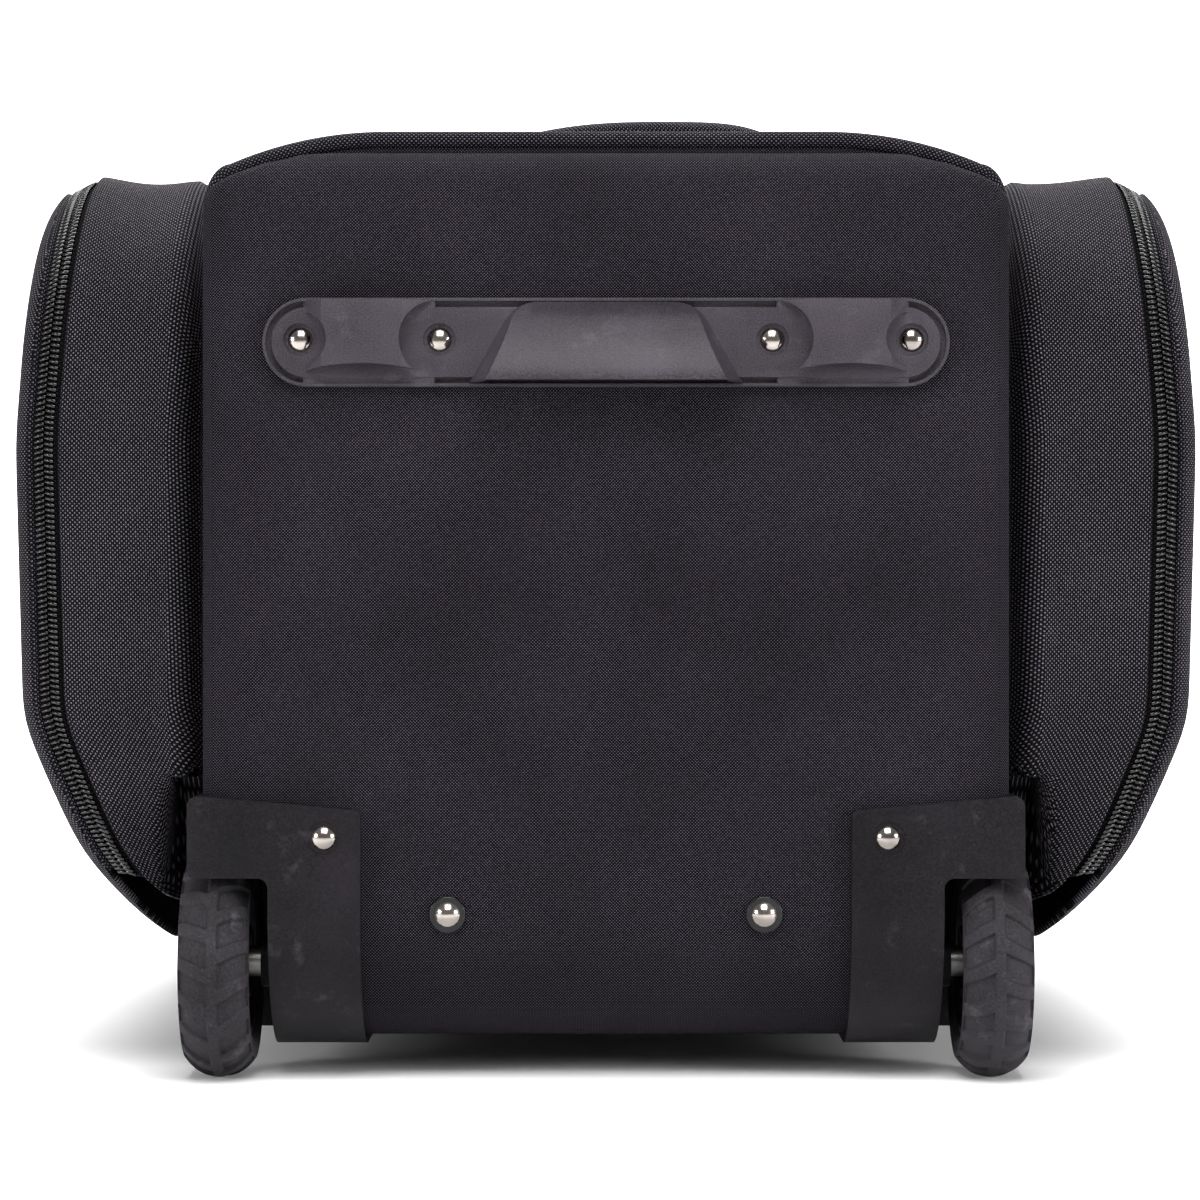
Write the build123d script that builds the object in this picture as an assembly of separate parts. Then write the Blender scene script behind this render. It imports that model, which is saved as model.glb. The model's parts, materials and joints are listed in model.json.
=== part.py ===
"""Rolling two-ball bowling bag: padded fabric case on two treaded corner wheels, zipped lid, two zipped
shoe pockets, moulded lift grip at the wheel end and a two-stage pull handle at the other end.

Frame: millimetres, +Z up, +Y from the wheel end to the pull-handle end, origin on the floor at the
middle of the bounding box."""

from build123d import *
import math
import os

# ------------------------------------------------------------------ driving dimensions
END_Y = 284.0            # the two end panels' outer faces stand at -END_Y (wheels) and +END_Y (pull handle)
CASE_HALF_W = 158.0      # half width of the end panels
CASE_BOTTOM = 14.0       # ground clearance of the base
SHOULDER_Z = 346.0       # top of the case at its long sides
CROWN_FLAT = 86.0        # half width of the level part of the top
CROWN_R = 150.0          # shoulders either side of it
CROWN_Z = 364.0          # top of the case along its middle
PANEL_T = 8.0            # moulded foam panels
REAR_BASE_R = 55.0       # turn from the wheel-end panel to the base
FRONT_BASE_R = 34.0
PANEL_TOP_R = 26.0
PLAN_R = 20.0
SHOULDER_R = 13.0
FLANGE = 20.0            # how far an end panel wraps back to its piping
SIDE_X = 150.0           # outer face of the long side walls
SIDE_T = 6.0
TOP_T = 5.0
PIPING_R = 3.0
PIPING_FOOT_Z = 314.0    # where it is sewn in behind the side pockets
SIDE_FOOT_Z = 32.0       # the side walls' lower edge over the front panel's tongue

WHEEL_R = 45.0
TYRE_HALF_W = 13.5
WHEEL_X = 151.0
AXLE_Y = -END_Y + 33.0
AXLE_Z = WHEEL_R
AXLE_R = 4.0
RIM_R = 29.5
TREAD_BLOCKS = 17

WELL_X = 127.0           # inboard face of the wheel well
WELL_Y = -END_Y + 87.0
WELL_Z = 98.0
HOUSING_T = 3.0
HOUSING_X = (94.5, 161.0)
HOUSING_TOP_Z = (106.0, 112.0)   # inboard and outboard ends of the sloping top edge
HOUSING_SHELF_Z = 80.0
HOUSING_LEG_X = 130.0

LID_OPEN_HALF_X = 128.0
LID_OPEN_Y = (-232.0, 232.0)
LID_CORNER_R = 34.0
ZIP_GAP = 10.0           # width of a closed coil chain

GRIP_Z = 286.0           # centre line of the lift grip
GRIP_HALF_L = 132.0
GRIP_HALF_H = 17.0
GRIP_REACH = 26.0        # how far the lift grip and the pull grip stand out of their panels
GRIP_RIVET_X = (64.0, 117.5)
GRIP_PLATE_T = 4.0       # riveted plate of the lift grip, its rim and its raised field
GRIP_GROOVE = (1.2, 3.6, 2.6)    # groove inside the rim: near edge, far edge, depth
RIVET_SINK = (6.3, 1.6)  # countersink round each grip rivet: radius, depth
RIVET_R = 4.7
RIVET_FOOT_R = 4.0       # flat head inside the panel

TUBE_X = 60.0
TUBE_Z = 66.0
TUBE_WALL = 1.2
TUBES = ((24.0, 16.0), (20.6, 12.6), (17.2, 9.2))   # outer, middle and inner sections
FLOOR_Z = 76.0           # underside of the stiff floor board

POCKET_Y = (-END_Y + 22.0, END_Y - 22.0)
POCKET_Z = (45.0, 358.0)
POCKET_T = 4.0
POCKET_END_R = 80.0
POCKET_TOP_R = 22.0
POCKET_PLAN_R = 28.0
POCKET_PLAN_X = 239.0      # the plan's round corners run out past the bulged outer face
POCKET_ZIP_FOOT_Z = 74.0
ZIP_INSET = (4.0, 18.0)   # the pocket zip lies between these distances from the outer face
RUN_GAP = 0.3            # clearance between pieces that move past each other


# ------------------------------------------------------------------ helpers
def along_x(sketch, x0, x1):
    """Sketch drawn in (Y, Z), carried from x0 to x1."""
    return extrude(Plane(origin=(x0, 0, 0), x_dir=(0, 1, 0), z_dir=(1, 0, 0)) * sketch, amount=x1 - x0)


def along_y(sketch, y0, y1):
    """Sketch drawn in (X, Z), carried from y0 to y1."""
    return extrude(Plane(origin=(0, y1, 0), x_dir=(1, 0, 0), z_dir=(0, -1, 0)) * sketch, amount=y1 - y0)


def along_z(sketch, z0, z1):
    """Sketch drawn in (X, Y), carried from z0 to z1."""
    return extrude(Plane.XY.offset(z0) * sketch, amount=z1 - z0)


def block(x, y, z):
    """Box between three pairs of limits."""
    sizes = [b - a for a, b in (x, y, z)]
    return Pos(*[(a + b) / 2 for a, b in (x, y, z)]) * Box(*sizes)


def rect(a, b, radius=0.0):
    """Rectangle between two pairs of limits, with round corners."""
    size = (a[1] - a[0], b[1] - b[0])
    shape = RectangleRounded(*size, radius) if radius else Rectangle(*size)
    return Pos((a[0] + a[1]) / 2, (b[0] + b[1]) / 2) * shape


def rod_x(radius, x0, x1, y, z):
    """Cylinder along X."""
    return Pos((x0 + x1) / 2, y, z) * Rot(0, 90, 0) * Cylinder(radius, abs(x1 - x0))


def rod_y(radius, y0, y1, x, z):
    """Cylinder along Y."""
    return Pos(x, (y0 + y1) / 2, z) * Rot(90, 0, 0) * Cylinder(radius, abs(y1 - y0))


def rod_z(radius, z0, z1, x, y):
    """Cylinder along Z."""
    return Pos(x, y, (z0 + z1) / 2) * Cylinder(radius, abs(z1 - z0))


def other_side(shape):
    """Mirror image across the bag's middle plane."""
    return mirror(shape, about=Plane.YZ)


def only(shape):
    """Largest solid of a result, so that a boolean leaves no crumbs."""
    return max(shape.solids(), key=lambda s: s.volume)


def top_z(x):
    """Height of the top at a distance x from the middle: level, then a long round shoulder."""
    over = max(abs(x) - CROWN_FLAT, 0.0)
    return CROWN_Z - CROWN_R + math.sqrt(CROWN_R**2 - over**2)


# ------------------------------------------------------------------ case
def end_outline(inset):
    """Case seen from its end: straight sides under a crowned top."""
    half, low = CASE_HALF_W - inset, CASE_BOTTOM + inset
    side = half + 0.001
    middle = (CROWN_FLAT + side) / 2
    ends = [(x, top_z(x) - inset) for x in (CROWN_FLAT, middle, side)]
    edge = Polyline((-side, ends[2][1]), (-side, low), (side, low), ends[2])
    edge += ThreePointArc(ends[2], ends[1], ends[0])
    edge += Line(ends[0], (-ends[0][0], ends[0][1]))
    edge += ThreePointArc(*[(-x, z) for x, z in ends])
    face = make_face(edge)
    corners = face.vertices().sort_by(lambda v: -abs(v.X))[:4]
    return fillet(corners, SHOULDER_R - inset)


def side_outline(inset):
    """Case seen from its side: a large turn to the base at the wheel end, smaller ones elsewhere."""
    y, low, high = END_Y - inset, CASE_BOTTOM + inset, CROWN_Z - inset
    face = rect((-y, y), (low, high))
    turns = ((-y, low, REAR_BASE_R), (y, low, FRONT_BASE_R), (-y, high, PANEL_TOP_R), (y, high, PANEL_TOP_R))
    for corner_y, corner_z, radius in turns:
        face = fillet(face.vertices().sort_by_distance((corner_y, corner_z))[0], radius - inset)
    return face


def envelope(inset):
    """Rounded block that the case's surface follows, shrunk by inset."""
    half, y = CASE_HALF_W - inset, END_Y - inset
    plan = rect((-half, half), (-y, y), PLAN_R - inset)
    shape = along_x(side_outline(inset), -half, half) & along_z(plan, CASE_BOTTOM + inset, CROWN_Z - inset)
    return shape & along_y(end_outline(inset), -y, y)


def wells():
    """Space at both rear lower corners that the wheel housings take."""
    one = block((WELL_X, 200), (-END_Y - 20, WELL_Y), (0, WELL_Z))
    return one + other_side(one)


def end_panels():
    """Moulded panels that close the two ends, each with a tongue that turns under the base."""
    wall = envelope(0) - envelope(PANEL_T)
    rear_zone = block((-200, 200), (-END_Y - 10, -END_Y + FLANGE), (0, 400))
    rear_zone += block((-SIDE_X, SIDE_X), (-END_Y - 10, -END_Y + REAR_BASE_R), (0, CASE_BOTTOM + REAR_BASE_R))
    front_zone = block((-200, 200), (END_Y - FLANGE, END_Y + 10), (0, 400))
    front_zone += block((-SIDE_X, SIDE_X), (END_Y - FRONT_BASE_R, END_Y + 10),
                        (0, CASE_BOTTOM + FRONT_BASE_R))
    rear = (wall & rear_zone) - wells()
    for x, z in rivet_places():
        rear -= rod_y(2.0, -END_Y - 1, -END_Y + PANEL_T + 1, x, z)
        rear -= rod_y(RIVET_FOOT_R + RUN_GAP, -END_Y + PANEL_T, -END_Y + PANEL_T + 3, x, z)
    front = wall & front_zone
    front -= block((-47, 47), (END_Y - 20, END_Y + 5), (TUBE_Z - 13, TUBE_Z + 13))
    for x in (-TUBE_X, TUBE_X):
        w, h = TUBES[0]
        front -= block((x - w / 2 - 0.5, x + w / 2 + 0.5), (END_Y - 20, END_Y + 5),
                       (TUBE_Z - h / 2 - 0.5, TUBE_Z + h / 2 + 0.5))
    return only(rear), only(front)


def side_wall():
    """Long side wall on +X, notched for the wheel well."""
    y = END_Y - FLANGE
    wall = along_x(side_outline(PANEL_T + 0.2), SIDE_X - SIDE_T, SIDE_X)
    wall &= block((0, 200), (-y, y), (0, SHOULDER_Z - TOP_T - 4.0))
    wall -= block((0, 200), (END_Y - FRONT_BASE_R - RUN_GAP, y + 1), (0, SIDE_FOOT_Z))
    return only(wall - wells())


def base_panel():
    """Bottom of the case between the two tongues."""
    y = (-END_Y + REAR_BASE_R, END_Y - FRONT_BASE_R)
    return only(block((-SIDE_X, SIDE_X), y, (CASE_BOTTOM, CASE_BOTTOM + PANEL_T)) - wells())


def top_band(y0, y1, drop, thickness):
    """Slab that follows the crown, its upper face dropped below it."""
    upper = along_y(end_outline(drop), y0, y1)
    lower = along_y(end_outline(drop + thickness), y0 - 1, y1 + 1)
    band = upper - lower
    return band & block((-SIDE_X, SIDE_X), (y0, y1), (SHOULDER_Z - 12, CROWN_Z + 5))


def lid_plan(grow):
    """Plan of the lid, grown towards the opening's edge; its +X side is the fabric hinge."""
    inset = ZIP_GAP - grow
    x = (-LID_OPEN_HALF_X + inset, LID_OPEN_HALF_X - RUN_GAP)
    y = (LID_OPEN_Y[0] + inset, LID_OPEN_Y[1] - inset)
    radius = LID_CORNER_R - inset
    square = rect((0, x[1]), y)
    return rect(x, y, radius) + square


def opening_plan():
    """Plan of the hole in the top."""
    x = (-LID_OPEN_HALF_X, LID_OPEN_HALF_X)
    return rect(x, LID_OPEN_Y, LID_CORNER_R) + rect((0, x[1]), LID_OPEN_Y)


def top_pieces():
    """Top frame, lid and the two halves of the lid's zip."""
    y = END_Y - FLANGE - 2 * PIPING_R
    frame = top_band(-y, y, 0, TOP_T) - along_z(opening_plan(), 300, 400)
    lid = top_band(-y, y, 0, TOP_T) & along_z(lid_plan(0), 300, 400)
    tape = top_band(-y, y, 1.0, 2.0)
    half = ZIP_GAP / 2
    clear_of_hinge = block((-200, LID_OPEN_HALF_X - 6), (-300, 300), (300, 400))
    ring = along_z(opening_plan() - lid_plan(half), 300, 400) & clear_of_hinge
    frame_half = tape & ring
    lid_half = (tape & along_z(lid_plan(half - RUN_GAP) - lid_plan(0), 300, 400)) & clear_of_hinge
    return only(frame), only(lid), only(frame_half), only(lid_half)


def piping(sign):
    """Corded piping over the top of an end panel, with a short run down behind each pocket."""
    y = sign * (END_Y - FLANGE - PIPING_R)
    x, foot, corner = SIDE_X + PIPING_R + RUN_GAP, PIPING_FOOT_Z, 14.0
    top = top_z(x) - 1.0
    arc_mid = (0, CROWN_Z - 1.0)
    start = (-x, top - corner)
    left = Line((-x, foot), start)
    up = ThreePointArc(start, (-x + corner * 0.3, top - corner * 0.28),
                       (-x + corner, top_z(x - corner) - 1.0))
    over = ThreePointArc(up @ 1, arc_mid, (x - corner, top_z(x - corner) - 1.0))
    down = ThreePointArc(over @ 1, (x - corner * 0.3, top - corner * 0.28), (x, top - corner))
    right = Line(down @ 1, (x, foot))
    path = Plane(origin=(0, y, 0), x_dir=(1, 0, 0), z_dir=(0, -1, 0)) * Wire([left, up, over, down, right])
    profile = Plane(origin=(-x, y, foot), z_dir=(0, 0, 1)) * Circle(PIPING_R)
    return sweep(profile, path=path, transition=Transition.ROUND)


# ------------------------------------------------------------------ inside the case
def floor_board():
    """Stiff board over the handle tubes that the ball cups stand on."""
    plan = rect((-142, 142), (-END_Y + 26, END_Y - 26), 14)
    return along_z(plan, FLOOR_Z, FLOOR_Z + 4) - wells()


def cross_bearers():
    """Three moulded bearers that carry the floor board and hold the outer tubes."""
    w, h = TUBES[0]
    low = CASE_BOTTOM + PANEL_T
    shapes = []
    for y in (-170.0, 0.0, 170.0):
        bar = block((-138, 138), (y - 6, y + 6), (low, FLOOR_Z))
        for x in (-TUBE_X, TUBE_X):
            bar -= block((x - w / 2 - 0.1, x + w / 2 + 0.1), (y - 7, y + 7),
                         (TUBE_Z - h / 2 - 0.1, TUBE_Z + h / 2 + 0.1))
        bar -= block((-38, 38), (y - 7, y + 7), (low + 12, FLOOR_Z - 12))
        shapes.append(only(bar))
    return shapes


def ball_cup(y0, y1):
    """Foam block with a round seat for one ball."""
    low, ball_r = FLOOR_Z + 4, 110.0
    seat_z = low + 8 + ball_r
    cup = block((-138, 138), (y0, y1), (low, low + 36))
    cup -= Pos(0, (y0 + y1) / 2, seat_z) * Sphere(ball_r)
    return only(cup - wells())


def ball_divider():
    """Padded wall between the two balls."""
    return along_y(rect((-138, 138), (FLOOR_Z + 4, 210), 3), -5, 5)


# ------------------------------------------------------------------ carry handle on the lid
CARRY_HALF_W = 19.0
CARRY_X = (-112.0, 116.0)
CARRY_RISE_X = (-88.0, 96.0)
CARRY_TOP_Z = 397.0


def carry_line():
    """Middle line of the strap: flat ends on the lid, joined by a smooth arch."""
    mid = (CARRY_RISE_X[0] + CARRY_RISE_X[1]) / 2
    feet = [(x, top_z(x) + 1.9) for x in (CARRY_X[0], CARRY_RISE_X[0], CARRY_RISE_X[1], CARRY_X[1])]
    left = Line(feet[0], feet[1])
    arch = Spline(feet[1], (mid, CARRY_TOP_Z), feet[2], tangents=[(1, 0.25), (1, -0.25)])
    right = Line(feet[2], feet[3])
    return left, arch, right


def carry_strap():
    """Webbing strap sewn to the lid at both ends."""
    line = Wire(list(carry_line()))
    plane = Plane(origin=(0, -CARRY_HALF_W, 0), x_dir=(1, 0, 0), z_dir=(0, -1, 0))
    band = trace(line, 2.6)
    return only(extrude(plane * band, amount=-2 * CARRY_HALF_W))


def carry_grip():
    """Padded sleeve round the middle of the strap."""
    arch = carry_line()[1]
    part = arch.trim(0.16, 0.86)
    outer = fillet(trace(part, 15.0).vertices(), 5.0)
    plane = Plane(origin=(0, -CARRY_HALF_W - 4, 0), x_dir=(1, 0, 0), z_dir=(0, -1, 0))
    sleeve = extrude(plane * outer, amount=-2 * (CARRY_HALF_W + 4))
    slot = Plane(origin=(0, -CARRY_HALF_W - 0.2, 0), x_dir=(1, 0, 0), z_dir=(0, -1, 0))
    sleeve -= extrude(slot * trace(Wire(list(carry_line())), 3.0), amount=-2 * (CARRY_HALF_W + 0.2))
    return only(sleeve)


# ------------------------------------------------------------------ wheels and their housings
def housing_block():
    """Outside of a wheel housing before it is hollowed: a shelf over the wheel and a leg beside it."""
    y = -END_Y - 4.0
    low = CASE_BOTTOM - 3.0
    inboard, outboard = HOUSING_X
    front = Polyline((inboard, low), (HOUSING_LEG_X, low), (HOUSING_LEG_X, HOUSING_SHELF_Z),
                     (outboard, HOUSING_SHELF_Z), (outboard, HOUSING_TOP_Z[1]), (inboard, HOUSING_TOP_Z[0]),
                     close=True)
    face = make_face(front)
    near = [(HOUSING_LEG_X, HOUSING_SHELF_Z), (outboard, HOUSING_SHELF_Z), (outboard, HOUSING_TOP_Z[1]),
            (inboard, HOUSING_TOP_Z[0])]
    for point, radius in zip(near, (4.0, 3.0, 4.0, 2.0)):
        face = fillet(face.vertices().sort_by_distance(point)[0], radius)
    shape = along_y(face, y, WELL_Y)
    side = rect((y, WELL_Y), (low, 200))
    side = fillet(side.vertices().sort_by_distance((y, low))[0], REAR_BASE_R + 3.0)
    return shape & along_x(side, 0, 200)


def wheel_housing():
    """Moulded housing on +X: outside shell, well walls round the wheel and the axle boss."""
    shell = housing_block() - envelope(0)
    y = (-END_Y, WELL_Y)
    z = (CASE_BOTTOM, WELL_Z)
    well = block((WELL_X, CASE_HALF_W), y, z) & envelope(0)
    well -= block((WELL_X + HOUSING_T, 200), (-END_Y - 9, WELL_Y - HOUSING_T), (0, WELL_Z - HOUSING_T))
    body = shell + well
    body += rod_x(10.0, WELL_X + 0.5, 135.0, AXLE_Y, AXLE_Z)
    body -= rod_x(WHEEL_R + 4.0, 136.0, 200.0, AXLE_Y, AXLE_Z)
    body -= rod_x(AXLE_R + 0.05, WELL_X - 2, 140.0, AXLE_Y, AXLE_Z)
    body -= rod_y(2.0, -END_Y - 6, -END_Y + 6, *rivet_places()[4])
    body -= rod_y(6.6, -END_Y - 6, -END_Y - 3.2, *rivet_places()[4])
    return only(body)


def axle_bolt():
    """Shoulder bolt with a low round head outboard."""
    bolt = rod_x(AXLE_R, 117.5, 164.5, AXLE_Y, AXLE_Z)
    head = rod_x(7.5, 163.0, 166.5, AXLE_Y, AXLE_Z)
    head = fillet(head.edges().filter_by(GeomType.CIRCLE).sort_by(Axis.X)[-1], 2.0)
    socket = Pos(164.0, AXLE_Y, AXLE_Z) * Rot(0, 90, 0) * extrude(RegularPolygon(2.9, 6), amount=4)
    return only((bolt + head) - socket)


def axle_nut():
    """Hexagon lock nut and its washer, inside the case."""
    nut = Pos(118.6, AXLE_Y, AXLE_Z) * Rot(0, 90, 0) * extrude(RegularPolygon(7.5, 6), amount=6.4)
    nut -= rod_x(AXLE_R + 0.05, 110, 130, AXLE_Y, AXLE_Z)
    washer = rod_x(8.5, 125.2, 126.8, AXLE_Y, AXLE_Z) - rod_x(AXLE_R + 0.1, 120, 130, AXLE_Y, AXLE_Z)
    return [only(nut), only(washer)]


def axle_spacer():
    """Short sleeve between the boss and the inboard bearing."""
    return rod_x(6.0, 135.1, 140.2, AXLE_Y, AXLE_Z) - rod_x(AXLE_R + 0.05, 130, 145, AXLE_Y, AXLE_Z)


def bearings():
    """Two ball bearings of 8 mm bore, 22 mm outside and 7 mm width."""
    pair = []
    for x0 in (140.5, 155.5):
        ring = rod_x(11.0, x0, x0 + 7, AXLE_Y, AXLE_Z) - rod_x(AXLE_R + 0.03, x0 - 1, x0 + 8, AXLE_Y, AXLE_Z)
        groove = rod_x(9.2, x0 - 1, x0 + 0.4, AXLE_Y, AXLE_Z) - rod_x(6.2, x0 - 2, x0 + 2, AXLE_Y, AXLE_Z)
        ring -= groove
        ring -= Pos(7.6 - 1.0 + 0.4, 0, 0) * groove
        pair.append(only(ring))
    return pair


def wheel_rim():
    """Five-spoke moulded wheel centre."""
    x0, x1 = WHEEL_X - 11.5, WHEEL_X + 11.5
    hub = rod_x(14.0, x0, x1, AXLE_Y, AXLE_Z)
    ring = rod_x(RIM_R, x0, x1, AXLE_Y, AXLE_Z) - rod_x(RIM_R - 3.5, x0 - 1, x1 + 1, AXLE_Y, AXLE_Z)
    web = rod_x(RIM_R - 1, WHEEL_X - 3, WHEEL_X + 3, AXLE_Y, AXLE_Z)
    windows = 5
    for i in range(windows):
        turn = math.radians(360 / windows * i)
        y, z = AXLE_Y + 20.3 * math.sin(turn), AXLE_Z + 20.3 * math.cos(turn)
        web -= rod_x(4.6, x0, x1, y, z)
    rim = hub + ring + web
    rim -= rod_x(AXLE_R + 2.0, x0 - 1, x1 + 1, AXLE_Y, AXLE_Z)
    for bearing_x in (140.4, 155.4):
        rim -= rod_x(11.02, bearing_x, bearing_x + 7.2, AXLE_Y, AXLE_Z)
    rim -= rod_x(11.02, x0 - 1, 140.5, AXLE_Y, AXLE_Z)
    rim -= rod_x(11.02, 162.5, x1 + 1, AXLE_Y, AXLE_Z)
    return only(rim)


def tyre():
    """Crowned rubber tyre with slanted grooves either side of a middle rib."""
    half = TYRE_HALF_W
    shoulder = WHEEL_R - 6.5
    line = Polyline((half - 1.5, RIM_R), (half, shoulder - 3), (half, shoulder))
    line += ThreePointArc((half, shoulder), (0, WHEEL_R), (-half, shoulder))
    line += Polyline((-half, shoulder), (-half, shoulder - 3), (-half + 1.5, RIM_R), (half - 1.5, RIM_R))
    ring = revolve(make_face(line), Axis.X, 360)
    groove_len, groove_w = 12.0, 2.4
    cutters = []
    for i in range(TREAD_BLOCKS):
        for side, phase in ((1, 0.0), (-1, 0.5)):
            turn = 360 / TREAD_BLOCKS * (i + phase)
            bar = Pos(side * (1.8 + groove_len / 2), 0, WHEEL_R - 3.2) * Rot(0, side * 22, 0)
            bar = bar * Rot(0, 0, side * 14) * Box(groove_len, groove_w, 3.0)
            cutters.append(Rot(turn, 0, 0) * bar)
    ring -= cutters
    return only(Pos(WHEEL_X, AXLE_Y, AXLE_Z) * ring)


# ------------------------------------------------------------------ rivets and the lift grip
def rivet_places():
    """Centres (x, z) of the domed rivets in the wheel-end panel: grip, housings, tube bracket."""
    grip = [(s * x, GRIP_Z + 1.0) for s in (-1, 1) for x in GRIP_RIVET_X]
    housing = [(108.5, 95.5), (-108.5, 95.5)]
    bracket = [(TUBE_X + 1.0, TUBE_Z), (-TUBE_X - 1.0, TUBE_Z)]
    return grip + housing + bracket


def rivets():
    """Domed rivets with a shank through the panel and a flat inner head."""
    faces = [-END_Y - GRIP_PLATE_T + RIVET_SINK[1]] * 4 + [-END_Y - 3.2] * 2 + [-END_Y - 1.6] * 2
    inner = -END_Y + PANEL_T
    shapes = []
    for (x, z), face in zip(rivet_places(), faces):
        ball = Pos(x, face + 4.0, z) * Sphere(math.hypot(RIVET_R, 4.0))
        dome = only(ball & rod_y(RIVET_R, face - 9, face, x, z))
        shank = rod_y(1.9, face - 0.5, inner + 1.2, x, z)
        foot = rod_y(RIVET_FOOT_R, inner, inner + 1.2, x, z)
        shapes.append(only(dome + shank + foot))
    return shapes


def rivet_washers():
    """Dished black washers under the two bracket rivets."""
    shapes = []
    for x, z in rivet_places()[6:]:
        washer = rod_y(7.0, -END_Y - 1.6, -END_Y, x, z) - rod_y(2.0, -END_Y - 3, -END_Y + 1, x, z)
        shapes.append(fillet(washer.edges().filter_by(GeomType.CIRCLE).sort_by(Axis.Y)[0], 0.6))
    return shapes


def lift_grip():
    """Moulded lift grip: riveted plate with a rim and a groove, a cupped finger pull and two bridges."""
    face = -END_Y
    plate_y = face - GRIP_PLATE_T
    near, far, depth = GRIP_GROOVE

    def stadium(inset):
        half_l, half_h = GRIP_HALF_L - inset, GRIP_HALF_H - inset
        return rect((-half_l, half_l), (GRIP_Z - half_h, GRIP_Z + half_h), half_h - 0.01)

    body = along_y(stadium(0), plate_y + depth, face)
    body += along_y(stadium(0) - stadium(near), plate_y, face)
    body += along_y(stadium(far), plate_y, face)
    for side in (-1, 1):
        body += bridge(side)
    body += finger_pull(0.0)
    body -= finger_pull(3.0)
    radius, sink = RIVET_SINK
    for x, z in rivet_places()[:4]:
        body -= rod_y(radius, plate_y - 1, plate_y + sink, x, z)
        body -= rod_y(2.0, face - 6, face + 1, x, z)
    return only(body)


def bridge(side):
    """Raised bridge between two rivets, scooped round both of them, arched and hollow underneath."""
    face, rise = -END_Y - GRIP_PLATE_T + 1.0, 10.0
    top, foot = (78.0, 108.8), (65.5, 116.5)
    low, high = GRIP_Z - GRIP_HALF_H + 0.5, GRIP_Z + GRIP_HALF_H - 1.0
    plan = Polyline((foot[0], face), (top[0], face - rise), (top[1], face - rise), (foot[1], face),
                    close=True)
    shape = along_z(make_face(plan), low, high)
    hollow = Polyline((foot[0] + 5, face - 1), (top[0] + 2.4, face - rise + 2.6),
                      (top[1] - 2.4, face - rise + 2.6), (foot[1] - 2.5, face - 1), close=True)
    shape -= along_z(make_face(hollow), low - 1, GRIP_Z + 6.0)
    arch_r, arch_top = 90.0, GRIP_Z - 8.5
    middle = (top[0] + top[1]) / 2
    shape -= rod_y(arch_r, face - rise - 5, face - 0.5, middle, arch_top - arch_r)
    for (x, z), radius in zip(rivet_places()[2:4], (15.2, 10.6)):
        shape -= rod_y(radius, face - rise - 5, face - 0.9, x, z)
    return only(shape) if side > 0 else other_side(only(shape))


def finger_pull(inset):
    """Cupped pull with drafted ends, open below; a positive inset gives its hollow."""
    face = -END_Y - 1.5
    low = GRIP_Z - GRIP_HALF_H + 1.5
    top = GRIP_Z + GRIP_HALF_H - 1.5 - inset * 1.4
    reach = -END_Y - GRIP_REACH + inset
    bottom = low - (20.0 if inset else 0.0)
    side = Polyline((face, top), (face, bottom), (reach, bottom), (reach, low + 2.0))
    side += ThreePointArc((reach, low + 2.0), (reach + 5.5, low + 15.0), (face - 3.0, top))
    side += Line((face - 3.0, top), (face, top))
    foot, head = 53.5 - inset * 1.1, 36.0 - inset
    outlines = []
    for y, draft in ((-END_Y, 0.0), (-END_Y - GRIP_REACH - 1.0, 8.0)):
        outline = make_face(Polyline((-foot + draft, low), (-head + draft, top), (head - draft, top),
                                     (foot - draft, low), close=True))
        for corner in ((-head + draft, top), (head - draft, top)):
            outline = fillet(outline.vertices().sort_by_distance(corner)[0], 15.0 - draft / 4 - inset)
        outlines.append(Plane(origin=(0, y, 0), x_dir=(1, 0, 0), z_dir=(0, -1, 0)) * outline)
    shape = along_x(make_face(side), -80, 80)
    if inset:
        mouth = block((-foot + 4, foot - 4), (reach, -END_Y - 4), (bottom, low + 0.5))
        return (shape & loft(outlines)) + (shape & mouth)
    return shape & loft(outlines)


# ------------------------------------------------------------------ pull handle
def tube_pair(stage, y0, y1):
    """Two hollow rectangular tubes of one stage."""
    w, h = TUBES[stage]
    outer, inner = RectangleRounded(w, h, 2.0), RectangleRounded(w - 2 * TUBE_WALL, h - 2 * TUBE_WALL, 0.9)
    return [along_y(Pos(x, TUBE_Z) * (outer - inner), y0, y1) for x in (-TUBE_X, TUBE_X)]


def tube_bracket():
    """Pressed bracket that joins the outer tubes' rear ends to the wheel-end panel."""
    face = -END_Y + PANEL_T + 1.3
    bar = block((-88, 88), (face, face + 2.5), (TUBE_Z - 5, TUBE_Z + 9.5))
    for x in (-TUBE_X, TUBE_X):
        w, h = TUBES[0]
        cup = block((x - w / 2 - 2, x + w / 2 + 2), (face + 2, face + 22),
                    (TUBE_Z - h / 2 - 2, TUBE_Z + h / 2 + 1.5))
        cup -= block((x - w / 2 - 0.1, x + w / 2 + 0.1), (face + 8, face + 30),
                     (TUBE_Z - h / 2 - 0.1, TUBE_Z + h / 2 + 0.1))
        bar += cup
    return only(bar)


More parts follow.
